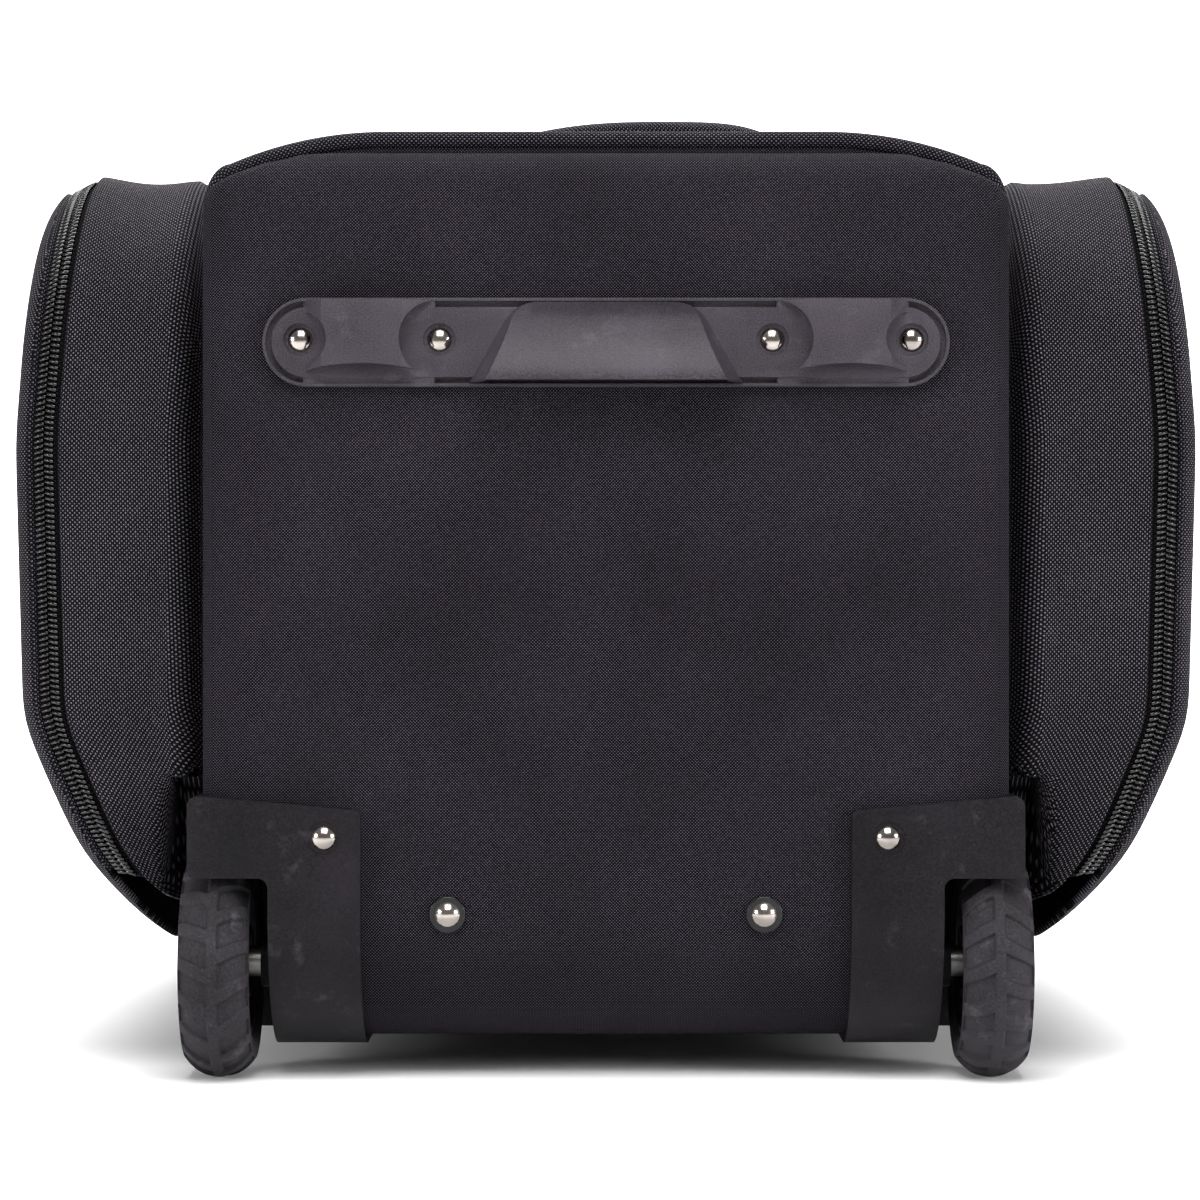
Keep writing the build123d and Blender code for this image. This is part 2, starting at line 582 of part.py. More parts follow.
def handle_bezel():
    """Plate round the tube mouths with a finger recess behind the pull grip."""
    front, back = END_Y + 3.0, END_Y - 15.0
    plate = along_y(rect((-92, 92), (TUBE_Z - 15.5, TUBE_Z + 16), 8), END_Y, front)
    cup = block((-46.5, 46.5), (back, END_Y), (TUBE_Z - 12.5, TUBE_Z + 12.5))
    body = plate + cup
    body -= block((-43.5, 43.5), (back + 3, front + 1), (TUBE_Z - 10.5, TUBE_Z + 10.5))
    w, h = TUBES[1]
    for x in (-TUBE_X, TUBE_X):
        body -= block((x - w / 2 - RUN_GAP, x + w / 2 + RUN_GAP), (END_Y - 2, front + 1),
                      (TUBE_Z - h / 2 - RUN_GAP, TUBE_Z + h / 2 + RUN_GAP))
    for x in (-82, 82):
        body -= rod_y(1.6, END_Y - 1, front + 1, x, TUBE_Z)
    return only(body)


def bezel_screws():
    """Pan-head screws of the bezel."""
    shapes = []
    for x in (-82, 82):
        head = rod_y(3.2, END_Y + 3.0, END_Y + 5.0, x, TUBE_Z)
        head = fillet(head.edges().filter_by(GeomType.CIRCLE).sort_by(Axis.Y)[-1], 1.0)
        shapes.append(only(head + rod_y(1.5, END_Y, END_Y + 3.2, x, TUBE_Z)))
    return shapes


GRIP_BACK_Y = END_Y + 12.0
GRIP_FRONT_Y = END_Y + GRIP_REACH - 1.0


def pull_grip():
    """Bar across the two inner tubes, with sockets over their ends and a seat for the button."""
    bar = along_z(rect((-74, 74), (GRIP_BACK_Y, GRIP_FRONT_Y), 6), TUBE_Z - 12, TUBE_Z + 12)
    bar = fillet(bar.edges().group_by(Axis.Z)[0] + bar.edges().group_by(Axis.Z)[-1], 4.0)
    w, h = TUBES[2]
    for x in (-TUBE_X, TUBE_X):
        bar += along_y(Pos(x, TUBE_Z) * RectangleRounded(w + 6, h + 6, 3), END_Y + 4.0, GRIP_BACK_Y + 4)
    for x in (-TUBE_X, TUBE_X):
        bar -= along_y(Pos(x, TUBE_Z) * RectangleRounded(w + 0.1, h + 0.1, 2.0), END_Y, END_Y + 15.0)
    bar -= along_y(rect((-17, 17), (TUBE_Z - 6, TUBE_Z + 6), 5), GRIP_FRONT_Y - 7, GRIP_FRONT_Y + 1)
    return only(bar)


def grip_button():
    """Thumb button that frees the tubes' catches."""
    face = rect((-16.6, 16.6), (TUBE_Z - 5.6, TUBE_Z + 5.6), 4.6)
    button = along_y(face, GRIP_FRONT_Y - 3.0, GRIP_FRONT_Y + 1.0)
    return fillet(button.edges().group_by(Axis.Y)[-1], 0.8)


# ------------------------------------------------------------------ feet and rails
FOOT_PLACES = ((-112.0, END_Y - 58.0), (112.0, END_Y - 58.0))


def front_feet():
    """Two tapered feet that level the bag with its wheels."""
    shapes = []
    for x, y in FOOT_PLACES:
        foot = Pos(x, y, CASE_BOTTOM / 2) * Cone(15.0, 19.0, CASE_BOTTOM)
        foot -= rod_z(5.0, -1, 4, x, y)
        foot -= rod_z(1.8, -1, CASE_BOTTOM + 1, x, y)
        shapes.append(only(foot))
    return shapes


def foot_screws():
    """Screws up through the feet into the base."""
    shapes = []
    for x, y in FOOT_PLACES:
        shapes.append(only(rod_z(4.0, 1.6, 4.0, x, y) + rod_z(1.7, 3.8, CASE_BOTTOM, x, y)))
    return shapes


def skid_rails():
    """Two moulded rails along the base."""
    rails = []
    for x in (-70.0, 70.0):
        plan = rect((x - 7, x + 7), (-178, 178), 6.9)
        rails.append(along_z(plan, CASE_BOTTOM - 6.0, CASE_BOTTOM))
    return rails


# ------------------------------------------------------------------ side pockets
POCKET_POINTS = ((217.0, 430.0), (231.0, 250.0), (228.0, 140.0), (206.0, 88.0), (170.0, 38.0), (150.0, 14.0))
POCKET_BENDS = (90.0, 70.0, 70.0, 100.0)


def pocket_reach(inset):
    """Everything inboard of the pocket's outer face moved inboard by inset, in (X, Z)."""
    points = [(x - inset, z) for x, z in POCKET_POINTS]
    curve = FilletPolyline(*points, radius=list(POCKET_BENDS))
    back = Polyline(points[-1], (60.0, points[-1][1]), (60.0, points[0][1]), points[0])
    return make_face(curve + back)


def pocket_envelope(inset):
    """Rounded outside of a pocket on +X, shrunk by inset."""
    x = (SIDE_X + inset, 260.0)
    z = (POCKET_Z[0] + inset, POCKET_Z[1] - inset)
    y = (POCKET_Y[0] + inset, POCKET_Y[1] - inset)
    end = pocket_reach(inset) & rect(x, z)
    outer_top = end.vertices().sort_by(Axis.Y)[-2:].sort_by(Axis.X)[-1]
    end = fillet(outer_top, POCKET_TOP_R - inset)
    side = rect(y, z, POCKET_END_R - inset)
    plan = rect((x[0], POCKET_PLAN_X - inset), y)
    plan = fillet(plan.vertices().group_by(Axis.X)[-1], POCKET_PLAN_R - inset)
    shape = along_x(side, x[0], POCKET_PLAN_X - inset) & along_z(plan, *z)
    shape &= along_y(end, *y)
    notch = block((100, 170 + inset), (-END_Y - 10, WELL_Y + 3 + inset), (0, 116 + inset))
    return shape - notch


def pocket_slice(near, far):
    """Space between two distances from the pocket's outer face."""
    y = (POCKET_Y[0] - 10, POCKET_Y[1] + 10)
    return along_y(pocket_reach(near), *y) - along_y(pocket_reach(far), y[0] - 1, y[1] + 1)


def pocket():
    """Gusset, cover and the two zip halves of the pocket on +X."""
    outer = pocket_envelope(0)
    shell = outer - pocket_envelope(POCKET_T)
    tape_shell = pocket_envelope(1.2) - pocket_envelope(3.4)
    middle = (ZIP_INSET[0] + ZIP_INSET[1]) / 2
    gusset = shell & along_y(pocket_reach(ZIP_INSET[1]), -400, 400)
    cover = shell - along_y(pocket_reach(ZIP_INSET[0]), -400, 400)
    above_hinge = block((100, 300), (-400, 400), (POCKET_ZIP_FOOT_Z, 400))
    gusset_zip = tape_shell & pocket_slice(middle + RUN_GAP, ZIP_INSET[1]) & above_hinge
    cover_zip = tape_shell & pocket_slice(ZIP_INSET[0], middle) & above_hinge
    return only(gusset), only(cover), only(gusset_zip), only(cover_zip)


# ------------------------------------------------------------------ zip sliders
def slider():
    """Slider plate with its bridge, travelling along Y and lying in XY at z = 0."""
    plan = make_face(Polyline((-5.5, -7), (5.5, -7), (6.2, 2), (3.5, 8), (-3.5, 8), (-6.2, 2), close=True))
    plate = along_z(fillet(plan.vertices(), 1.2), 0.3, 1.9)
    bridge_side = rect((-4.2, 4.2), (1.0, 5.6), 1.6) - rect((-2.8, 2.8), (-1.0, 4.4), 1.2)
    return only(plate + along_x(bridge_side, -1.5, 1.5) - along_x(rect((-2.8, 2.8), (1.9, 4.4)), -1.5, 1.5))


PULL_PIVOT_Z = 3.15


def pull():
    """Pull tab lying flat along -Y, hung on the slider's bridge."""
    bar = rod_x(0.9, -4.6, 4.6, 0, PULL_PIVOT_Z)
    z = (PULL_PIVOT_Z - 0.8, PULL_PIVOT_Z + 0.8)
    arms = along_z(rect((-4.6, 4.6), (-12, 0)) - rect((-2.6, 2.6), (-9, 1)), *z)
    tab = along_z(rect((-5.0, 5.0), (-36, -10), 2.5) - rect((-2.4, 2.4), (-33, -26), 2.0), *z)
    return only(bar + arms + tab)


LID_SLIDER_X = -LID_OPEN_HALF_X + ZIP_GAP / 2
POCKET_SLIDER_X = 211.0


def lid_slider_place(y, turn):
    """Where a slider sits on the lid's long zip run."""
    tilt = math.degrees(math.asin((LID_SLIDER_X + CROWN_FLAT) / CROWN_R))
    return Pos(LID_SLIDER_X, y, top_z(LID_SLIDER_X)) * Rot(0, tilt, 0) * Rot(0, 0, turn)


def pocket_slider_place():
    """Where the slider sits on the pocket's top zip run."""
    return Pos(POCKET_SLIDER_X, 60.0, POCKET_Z[1] + 0.2) * Rot(0, 0, 180)


# ------------------------------------------------------------------ assembly
def build():
    """All pieces by name; a value is one solid or a list of solids."""
    rear, front = end_panels()
    frame, lid, frame_zip, lid_zip = top_pieces()
    wall, housing, well = side_wall(), wheel_housing(), wells()
    pieces = {
        "rear_panel": rear,
        "front_panel": front,
        "base_panel": base_panel(),
        "floor_board": floor_board(),
        "cross_bearers": cross_bearers(),
        "top_frame": frame,
        "main_lid": lid,
        "lid_zip_frame_half": frame_zip,
        "lid_zip_lid_half": lid_zip,
        "end_piping": [piping(-1), piping(1)],
        "carry_strap": carry_strap(),
        "carry_grip": carry_grip(),
        "rear_ball_cup": ball_cup(-END_Y + 26, -6),
        "front_ball_cup": ball_cup(6, END_Y - 26),
        "ball_divider": ball_divider(),
        "lift_grip": lift_grip(),
        "dome_rivets": rivets(),
        "rivet_washers": rivet_washers(),
        "axle_nuts": axle_nut() + [other_side(s) for s in axle_nut()],
        "axle_spacers": [axle_spacer(), other_side(axle_spacer())],
        "outer_tubes": tube_pair(0, -END_Y + 18, END_Y - 6),
        "middle_tubes": tube_pair(1, -END_Y + 22, END_Y + 3.6),
        "inner_tubes": tube_pair(2, -END_Y + 26, END_Y + 15.0),
        "tube_bracket": tube_bracket(),
        "handle_bezel": handle_bezel(),
        "bezel_screws": bezel_screws(),
        "pull_grip": pull_grip(),
        "grip_button": grip_button(),
        "front_feet": front_feet(),
        "foot_screws": foot_screws(),
        "skid_rails": skid_rails(),
        "lid_slider_rear": lid_slider_place(-12.0, 0) * slider(),
        "lid_pull_rear": lid_slider_place(-12.0, 0) * pull(),
        "lid_slider_front": lid_slider_place(12.0, 180) * slider(),
        "lid_pull_front": lid_slider_place(12.0, 180) * pull(),
    }
    gusset, cover, gusset_zip, cover_zip = pocket()
    paired = {
        "side_wall": wall,
        "wheel_housing": housing,
        "axle_bolt": axle_bolt(),
        "wheel_bearings": bearings(),
        "wheel_rim": wheel_rim(),
        "tyre": tyre(),
        "pocket_gusset": gusset,
        "pocket_cover": cover,
        "pocket_zip_gusset_half": gusset_zip,
        "pocket_zip_cover_half": cover_zip,
        "pocket_slider": pocket_slider_place() * slider(),
        "pocket_pull": pocket_slider_place() * pull(),
    }
    for name, shape in paired.items():
        group = shape if isinstance(shape, list) else [shape]
        pieces["right_" + name] = shape
        pieces["left_" + name] = [other_side(s) for s in group]
    return pieces


os.makedirs("parts", exist_ok=True)
for name, shape in build().items():
    solids = [s for part in (shape if isinstance(shape, list) else [shape]) for s in part.solids()]
    export_step(Compound(children=solids) if len(solids) > 1 else solids[0], f"parts/{name}.step")
    print(name, len(solids), round(sum(s.volume for s in solids) / 1000, 1), "cm3")
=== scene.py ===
"""Rolling two-ball bowling bag: cloth, zips, webbing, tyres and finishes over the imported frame."""
import json
import math
import bmesh
import bpy
import numpy as np
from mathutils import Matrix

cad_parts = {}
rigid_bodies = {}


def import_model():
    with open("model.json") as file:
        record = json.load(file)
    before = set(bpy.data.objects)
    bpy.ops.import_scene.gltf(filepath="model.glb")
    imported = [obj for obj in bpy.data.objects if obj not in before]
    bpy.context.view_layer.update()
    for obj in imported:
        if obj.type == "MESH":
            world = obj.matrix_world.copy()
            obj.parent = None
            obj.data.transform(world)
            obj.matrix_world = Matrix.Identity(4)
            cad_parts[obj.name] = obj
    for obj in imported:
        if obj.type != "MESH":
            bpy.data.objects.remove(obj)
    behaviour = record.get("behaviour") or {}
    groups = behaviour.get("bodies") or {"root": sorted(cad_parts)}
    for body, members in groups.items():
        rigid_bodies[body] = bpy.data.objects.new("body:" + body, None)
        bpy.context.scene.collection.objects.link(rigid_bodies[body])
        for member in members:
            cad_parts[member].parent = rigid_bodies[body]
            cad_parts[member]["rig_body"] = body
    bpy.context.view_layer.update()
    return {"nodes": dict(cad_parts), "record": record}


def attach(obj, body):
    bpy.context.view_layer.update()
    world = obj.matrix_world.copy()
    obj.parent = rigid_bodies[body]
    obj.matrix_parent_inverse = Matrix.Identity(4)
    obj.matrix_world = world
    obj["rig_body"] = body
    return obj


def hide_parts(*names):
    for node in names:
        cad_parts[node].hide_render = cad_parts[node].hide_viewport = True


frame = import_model()
NODES = frame["nodes"]
MM = 0.001

# ------------------------------------------------------------------ sizes, millimetres
POCKET_Y, POCKET_Z, POCKET_CORNER = 262.0, (45.0, 358.0), 80.0
POCKET_BACK_X = 151.0
POCKET_SIDE = ((430.0, 217.0), (250.0, 231.0), (140.0, 228.0), (88.0, 206.0), (38.0, 170.0), (14.0, 150.0))
SHOULDER_R = 20.0          # roll from the gusset to the outer face
ZIP_MID = 11.0             # zip's parting line, measured in from the outer face
COVER_RIM, GUSSET_RIM = 5.5, 17.5
POCKET_WALL = 2.6
COIL_PITCH, COIL_SHIFT = 2.15, 2.35
COIL_BAR = (4.9, 1.55, 2.0)
TAPE_THICK = 0.7
ZIP_FOOT_Z = 76.0
CROWN_Z, CROWN_FLAT, CROWN_R = 364.0, 86.0, 150.0
PIPING_X, PIPING_Y, PIPING_R = 146.0, 261.0, 3.5
PIPING_DROP = 205.0        # straight run down the sides
CARRY_RISE, CARRY_PEAK_X = 31.2, 26.0
TYRE_R, TYRE_HALF_W, TYRE_BORE = 45.0, 13.5, 29.4
TREAD_COUNT = 18
WHEEL_X, WHEEL_Y = 151.0, -251.0
TREAD_FALL = 7.0           # crown to the tyre's edge
NOOK_X, NOOK_Y, NOOK_Z = 176.0, -190.0, 120.0     # corner of the pocket left to the wheel
RIM_STEPS, BAND_STEPS = 300, 22
RIM_STEP = 5.1             # cloth between two steps of the rim

# pale colour of the painted sheen spots, which also pass for scuffs, on moulded parts
SHEEN_AND_SCUFF = "#5a555c"
WELD = 1e-7                # metres; points closer than this are one


# ------------------------------------------------------------------ nodes for materials
def linear(code):
    """sRGB hex to linear RGBA."""
    channels = [int(code[i:i + 2], 16) / 255 for i in (1, 3, 5)]
    return [c / 12.92 if c <= 0.04045 else ((c + 0.055) / 1.055) ** 2.4 for c in channels] + [1.0]


def add(tree, kind, inputs=(), **settings):
    """Adds one node; inputs pairs its sockets with numbers, colours, outputs, or nodes whose first output is
    meant."""
    made = tree.nodes.new("ShaderNode" + kind)
    for key, value in settings.items():
        setattr(made, key, value)
    for key, value in dict(inputs).items():
        source = value.outputs[0] if isinstance(value, bpy.types.Node) else value
        if isinstance(source, bpy.types.NodeSocket):
            tree.links.new(source, made.inputs[key])
        else:
            made.inputs[key].default_value = source
    return made


def start(name, colour, rough, metallic=0.0, **shader):
    """New material with its shader; returns the material, its tree and the shader's inputs."""
    made = bpy.data.materials.new(name)
    made.use_nodes = True
    tree = made.node_tree
    sockets = tree.nodes["Principled BSDF"].inputs
    sockets["Base Color"].default_value = linear(colour)
    sockets["Roughness"].default_value = rough
    sockets["Metallic"].default_value = metallic
    for key, value in shader.items():
        sockets[key.replace("_", " ")].default_value = value
    made.diffuse_color = linear(colour)
    return made, tree, sockets


def woven(name, pitch, thread_low, crown_glint, depth, rough, ratio=1.0, dust=0.25, **shader):
    """Plain weave of black filament yarn: a painted highlight on the crowns of one set of threads stands in
    for the light they catch, so pale dots stand in diagonals on near-black, with a faint uneven dye and
    lint. pitch is the threads' spacing and depth the relief, in millimetres; ratio stretches the spacing
    along the cloth."""
    made, tree, sockets = start(name, thread_low, rough, **shader)
    cloth = add(tree, "UVMap", uv_map="cloth")
    split = add(tree, "SeparateXYZ", {0: cloth}).outputs
    cells, bows, crowns = [], [], []
    for axis, spacing in ((0, pitch), (1, pitch * ratio)):
        place = add(tree, "Math", {0: split[axis], 1: 1 / (spacing * MM)}, operation="MULTIPLY")
        cells.append(add(tree, "Math", {0: place}, operation="FLOOR"))
        part = add(tree, "Math", {0: place}, operation="FRACT")
        half_turn = add(tree, "Math", {0: part, 1: math.pi}, operation="MULTIPLY")
        bows.append(add(tree, "Math", {0: half_turn}, operation="SINE"))
    for bow, other in (bows, bows[::-1]):
        flat = add(tree, "Math", {0: bow, 1: 0.5}, operation="POWER")
        crowns.append(add(tree, "Math", {0: flat, 1: other}, operation="MULTIPLY"))
    both = add(tree, "Math", {0: cells[0], 1: cells[1]}, operation="ADD")
    over = add(tree, "Math", {0: both, 1: 2.0}, operation="FLOORED_MODULO")
    height = add(tree, "Mix", {0: over, 2: crowns[0], 3: crowns[1]})
    # painted highlight: crowns of one set of threads are painted up to 0.95, of the other up to 0.5,
    # standing in for light caught on the yarn
    warp_glint = add(tree, "Math", {0: crowns[0], 1: 0.95}, operation="MULTIPLY")
    weft_glint = add(tree, "Math", {0: crowns[1], 1: 0.5}, operation="MULTIPLY")
    tone = add(tree, "Mix", {0: over, 2: warp_glint, 3: weft_glint})
    where = add(tree, "TexCoord").outputs["Object"]
    for scale, detail, strength in ((900.0, 2.0, dust * 1.6), (14.0, 4.0, dust)):
        cloud = add(tree, "TexNoise", {"Vector": where, "Scale": scale, "Detail": detail})
        shift = add(tree, "Math", {0: cloud, 1: 0.5}, operation="SUBTRACT")
        share = add(tree, "Math", {0: shift, 1: strength}, operation="MULTIPLY")
        tone = add(tree, "Math", {0: tone, 1: share}, operation="ADD")
    # painted highlight: the crowns, with random dye and lint added, move the colour from the dark thread
    # towards the pale glint colour
    lit = add(tree, "MapRange", {0: tone, 1: 0.46, 2: 0.92})
    colour = add(tree, "Mix", {0: lit, 6: linear(thread_low), 7: linear(crown_glint)}, data_type="RGBA")
    tree.links.new(colour.outputs[2], sockets["Base Color"])
    polish = add(tree, "Math", {0: height, 1: 0.24}, operation="MULTIPLY")
    dull = add(tree, "Math", {0: rough + 0.12, 1: polish}, operation="SUBTRACT")
    tree.links.new(dull.outputs[0], sockets["Roughness"])
    bump = add(tree, "Bump", {"Strength": 0.9, "Distance": depth * MM, "Height": height})
    tree.links.new(bump.outputs[0], sockets["Normal"])
    return made


def moulded(name, low, high, rough, grain, depth, sheen_and_scuff=0.25, **shader):
    """Injection-moulded plastic with a spark-eroded grain: pin-point glints over a satin body, with pale
    patches laid by a noise, painted sheen spots that also pass for scuffs. grain is the grain's width in
    millimetres, and the last argument how strong these painted sheen spots and scuffs are."""
    made, tree, sockets = start(name, low, rough, **shader)
    where = add(tree, "TexCoord").outputs["Object"]
    pits = add(tree, "TexNoise", {"Vector": where, "Scale": 0.5 / (grain * MM), "Detail": 3.0})
    rub = add(tree, "TexNoise", {"Vector": where, "Scale": 22.0, "Detail": 5.0})
    sheen_and_scuff_noise = add(tree, "TexNoise", {"Vector": where, "Scale": 75.0, "Detail": 8.0, "Roughness": 0.7})
    fine = add(tree, "Math", {0: pits, 1: 0.55}, operation="MULTIPLY")
    broad = add(tree, "Math", {0: rub, 1: 0.45}, operation="MULTIPLY")
    tone = add(tree, "Math", {0: fine, 1: broad}, operation="ADD")
    lit = add(tree, "MapRange", {0: tone, 1: 0.4, 2: 0.6})
    body = add(tree, "Mix", {0: lit, 6: linear(low), 7: linear(high)}, data_type="RGBA").outputs[2]
    # painted sheen: pale patches laid by noise, also passing for scuffs, mixed over the grain's colour
    sheen_and_scuff_share = add(tree, "MapRange", {0: sheen_and_scuff_noise, 1: 0.56, 2: 0.7, 4: sheen_and_scuff})
    colour = add(tree, "Mix", {0: sheen_and_scuff_share, 6: body, 7: linear(SHEEN_AND_SCUFF)}, data_type="RGBA")
    tree.links.new(colour.outputs[2], sockets["Base Color"])
    matt = add(tree, "Math", {0: pits, 1: 0.2}, operation="MULTIPLY")
    gloss = add(tree, "Math", {0: matt, 1: rough - 0.1}, operation="ADD")
    tree.links.new(gloss.outputs[0], sockets["Roughness"])
    bump = add(tree, "Bump", {"Strength": 0.7, "Distance": depth * MM, "Height": pits})
    tree.links.new(bump.outputs[0], sockets["Normal"])
    return made


def metal(name, low, high, rough, depth, brush=(1.0, 1.0, 1.0), metallic=1.0):
    """Plated or anodised metal: fine scratches drawn out along one way and cloudy handling marks."""
    made, tree, sockets = start(name, low, rough, metallic)
    where = add(tree, "TexCoord").outputs["Object"]
    drawn = add(tree, "Mapping", {"Vector": where, "Scale": brush})
    lines = add(tree, "TexNoise", {"Vector": drawn, "Scale": 700.0, "Detail": 3.0})
    marks = add(tree, "TexNoise", {"Vector": where, "Scale": 60.0, "Detail": 4.0})
    lit = add(tree, "MapRange", {0: marks, 1: 0.35, 2: 0.65})
    colour = add(tree, "Mix", {0: lit, 6: linear(low), 7: linear(high)}, data_type="RGBA")
    tree.links.new(colour.outputs[2], sockets["Base Color"])
    smear = add(tree, "Math", {0: marks, 1: 0.14}, operation="MULTIPLY")
    haze = add(tree, "Math", {0: smear, 1: rough - 0.06}, operation="ADD")
    tree.links.new(haze.outputs[0], sockets["Roughness"])
    bump = add(tree, "Bump", {"Strength": 0.5, "Distance": depth * MM, "Height": lines})
    tree.links.new(bump.outputs[0], sockets["Normal"])
    return made


PANEL_CLOTH = woven("black polyester panel weave", 0.62, "#070608", "#57515c", 0.12, 0.9, dust=0.2,
                    Specular_IOR_Level=0.05)
BALLISTIC = woven("black 1680 denier ballistic nylon", 0.9, "#040405", "#6b646f", 0.24, 0.8,
                  Specular_IOR_Level=0.08)
PIPING = woven("corded piping in ballistic nylon", 0.9, "#040405", "#645d69", 0.24, 0.8,
               Specular_IOR_Level=0.08)
LINING = woven("charcoal nylon lining", 0.7, "#131216", "#2a282e", 0.06, 0.7, Sheen_Weight=0.02,
               Specular_IOR_Level=0.1)
WEBBING = woven("black polypropylene webbing", 1.2, "#070708", "#29262c", 0.35, 0.75, ratio=2.4,
                Specular_IOR_Level=0.1)
TAPE = woven("herringbone zip tape", 0.9, "#060607", "#1f1d21", 0.2, 0.85, ratio=1.8,
             Specular_IOR_Level=0.06)
COIL = moulded("glossy black nylon zip coil", "#030303", "#0a090b", 0.22, 0.4, 0.02,
               Specular_IOR_Level=0.45)
THREAD = moulded("bonded nylon thread", "#09080a", "#1c1a1e", 0.5, 0.25, 0.05, Specular_IOR_Level=0.2)
TRIM = moulded("grained charcoal polypropylene", "#171318", "#352f37", 0.5, 0.3, 0.16,
               Specular_IOR_Level=0.3)
HOUSING = moulded("grained black polypropylene", "#080609", "#1b171c", 0.48, 0.35, 0.16, sheen_and_scuff=0.22,
                  Specular_IOR_Level=0.14)
NYLON = moulded("black glass-filled nylon", "#0c0c0e", "#1a191c", 0.45, 0.4, 0.04,
                Specular_IOR_Level=0.3)
RUBBER = moulded("dark grey tread rubber", "#171518", "#2c292e", 0.72, 0.5, 0.12, sheen_and_scuff=0.45,
                 Specular_IOR_Level=0.22)
BOARD = moulded("black fluted board", "#141416", "#242327", 0.5, 1.2, 0.06)
NICKEL = metal("polished nickel plate", "#8d8682", "#b5aca6", 0.16, depth=0.004)
ZINC = metal("zinc-plated steel", "#7f8080", "#a5a5a0", 0.34, depth=0.01)
ENAMEL = metal("black enamelled zinc casting", "#0b0b0c", "#1d1c1f", 0.3, metallic=0.35, depth=0.01)
ANODISED = metal("dark anodised aluminium", "#4a4b4e", "#6a6b6f", 0.36, brush=(1.0, 0.03, 1.0), depth=0.012)


# ------------------------------------------------------------------ meshes
def piece(name, points, faces, body, material, uv=None):
    """New object from arrays of points (millimetres) and faces, riding on a body."""
    name = name.replace(" ", "_")
    mesh = bpy.data.meshes.new(name)
    mesh.from_pydata((np.asarray(points) * MM).tolist(), [], np.asarray(faces).tolist())
    if uv is not None:
        layer = mesh.uv_layers.new(name="cloth")
        layer.data.foreach_set("uv", np.asarray(uv, dtype=np.float32).ravel())
    mesh.polygons.foreach_set("use_smooth", [True] * len(mesh.polygons))
    made = bpy.data.objects.new(name, mesh)
    bpy.context.scene.collection.objects.link(made)
    mesh.materials.append(material)
    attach(made, body)
    return made


def quads(rows, columns, wrap=False, flip=False):
    """Corner indices of a grid's faces, row by row; wrap joins the last row to the first."""
    i, j = np.meshgrid(np.arange(rows if wrap else rows - 1), np.arange(columns - 1), indexing="ij")
    k = (i + 1) % rows
    corners = np.stack([i * columns + j, k * columns + j, k * columns + j + 1, i * columns + j + 1], -1)
    return corners.reshape(-1, 4)[:, ::-1] if flip else corners.reshape(-1, 4)


def grid(name, surface, body, material, wrap=False, flip=False, uv=None):
    """Piece from a grid of points; the cloth map follows the lengths along rows and columns."""
    rows, columns = surface.shape[:2]
    if uv is None:
        closed = np.concatenate([surface, surface[:1]]) if wrap else surface
        step_u = np.linalg.norm(np.diff(closed, axis=0), axis=2).mean(1)
        step_v = np.linalg.norm(np.diff(closed, axis=1), axis=2)
        u = np.concatenate([[0], np.cumsum(step_u)])
        v = np.concatenate([np.zeros((len(closed), 1)), np.cumsum(step_v, 1)], 1)
        uv = np.stack([np.repeat(u[:, None], columns, 1), v], -1)
    uv = uv * MM
    i, j = np.meshgrid(np.arange(rows if wrap else rows - 1), np.arange(columns - 1), indexing="ij")
    k = np.minimum(i + 1, len(uv) - 1)
    order = [(i, j), (k, j), (k, j + 1), (i, j + 1)]
    if flip:
        order = order[::-1]
    loops = np.stack([uv[a, b] for a, b in order], -2).reshape(-1, 2)
    faces = quads(rows, columns, wrap, flip)
    return piece(name, surface.reshape(-1, 3), faces, body, material, loops)


def tidied(made):
    """Joins points that lie together and turns every face outward."""
    work = bmesh.new()
    work.from_mesh(made.data)
    bmesh.ops.remove_doubles(work, verts=work.verts, dist=WELD)
    bmesh.ops.recalc_face_normals(work, faces=work.faces)
    work.to_mesh(made.data)
    work.free()
    return made


def box_map(mesh):
    """Cloth map for a copied solid: each face is laid flat along the axis it faces."""
    count = len(mesh.loops)
    corner = np.empty(count, dtype=np.int32)
    mesh.loops.foreach_get("vertex_index", corner)
    points = np.empty(len(mesh.vertices) * 3, dtype=np.float32)
    mesh.vertices.foreach_get("co", points)
    points = points.reshape(-1, 3)[corner]
    normals = np.empty(len(mesh.polygons) * 3, dtype=np.float32)
    mesh.polygons.foreach_get("normal", normals)
    sizes = np.empty(len(mesh.polygons), dtype=np.int32)
    mesh.polygons.foreach_get("loop_total", sizes)
    axis = np.repeat(np.abs(normals.reshape(-1, 3)).argmax(1), sizes)
    across = np.where(axis == 0, points[:, 1], points[:, 0])
    along = np.where(axis == 2, points[:, 1], points[:, 2])
    layer = mesh.uv_layers.get("cloth") or mesh.uv_layers.new(name="cloth")
    layer.data.foreach_set("uv", np.stack([across, along], 1).astype(np.float32).ravel())


def copied(node, name, material):
    """A node's mesh, its doubled points joined, as a new object that replaces the node."""
    name = name.replace(" ", "_")
    mesh = NODES[node].data.copy()
    mesh.name = name
    mesh.materials.clear()
    mesh.materials.append(material)
    work = bmesh.new()
    work.from_mesh(mesh)
    bmesh.ops.remove_doubles(work, verts=work.verts, dist=2e-6)
    work.to_mesh(mesh)
    work.free()
    made = bpy.data.objects.new(name, mesh)
    bpy.context.scene.collection.objects.link(made)
    body = NODES[node]["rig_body"]
    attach(made, body)
    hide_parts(node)
    return made


def applied(made):
    """Applies every modifier of a piece."""
    parent = made.parent
    depsgraph = bpy.context.evaluated_depsgraph_get()
    mesh = bpy.data.meshes.new_from_object(made.evaluated_get(depsgraph), depsgraph=depsgraph)
    made.modifiers.clear()
    old = made.data
    made.data = mesh
    bpy.data.meshes.remove(old)
    made.parent = parent
    return made


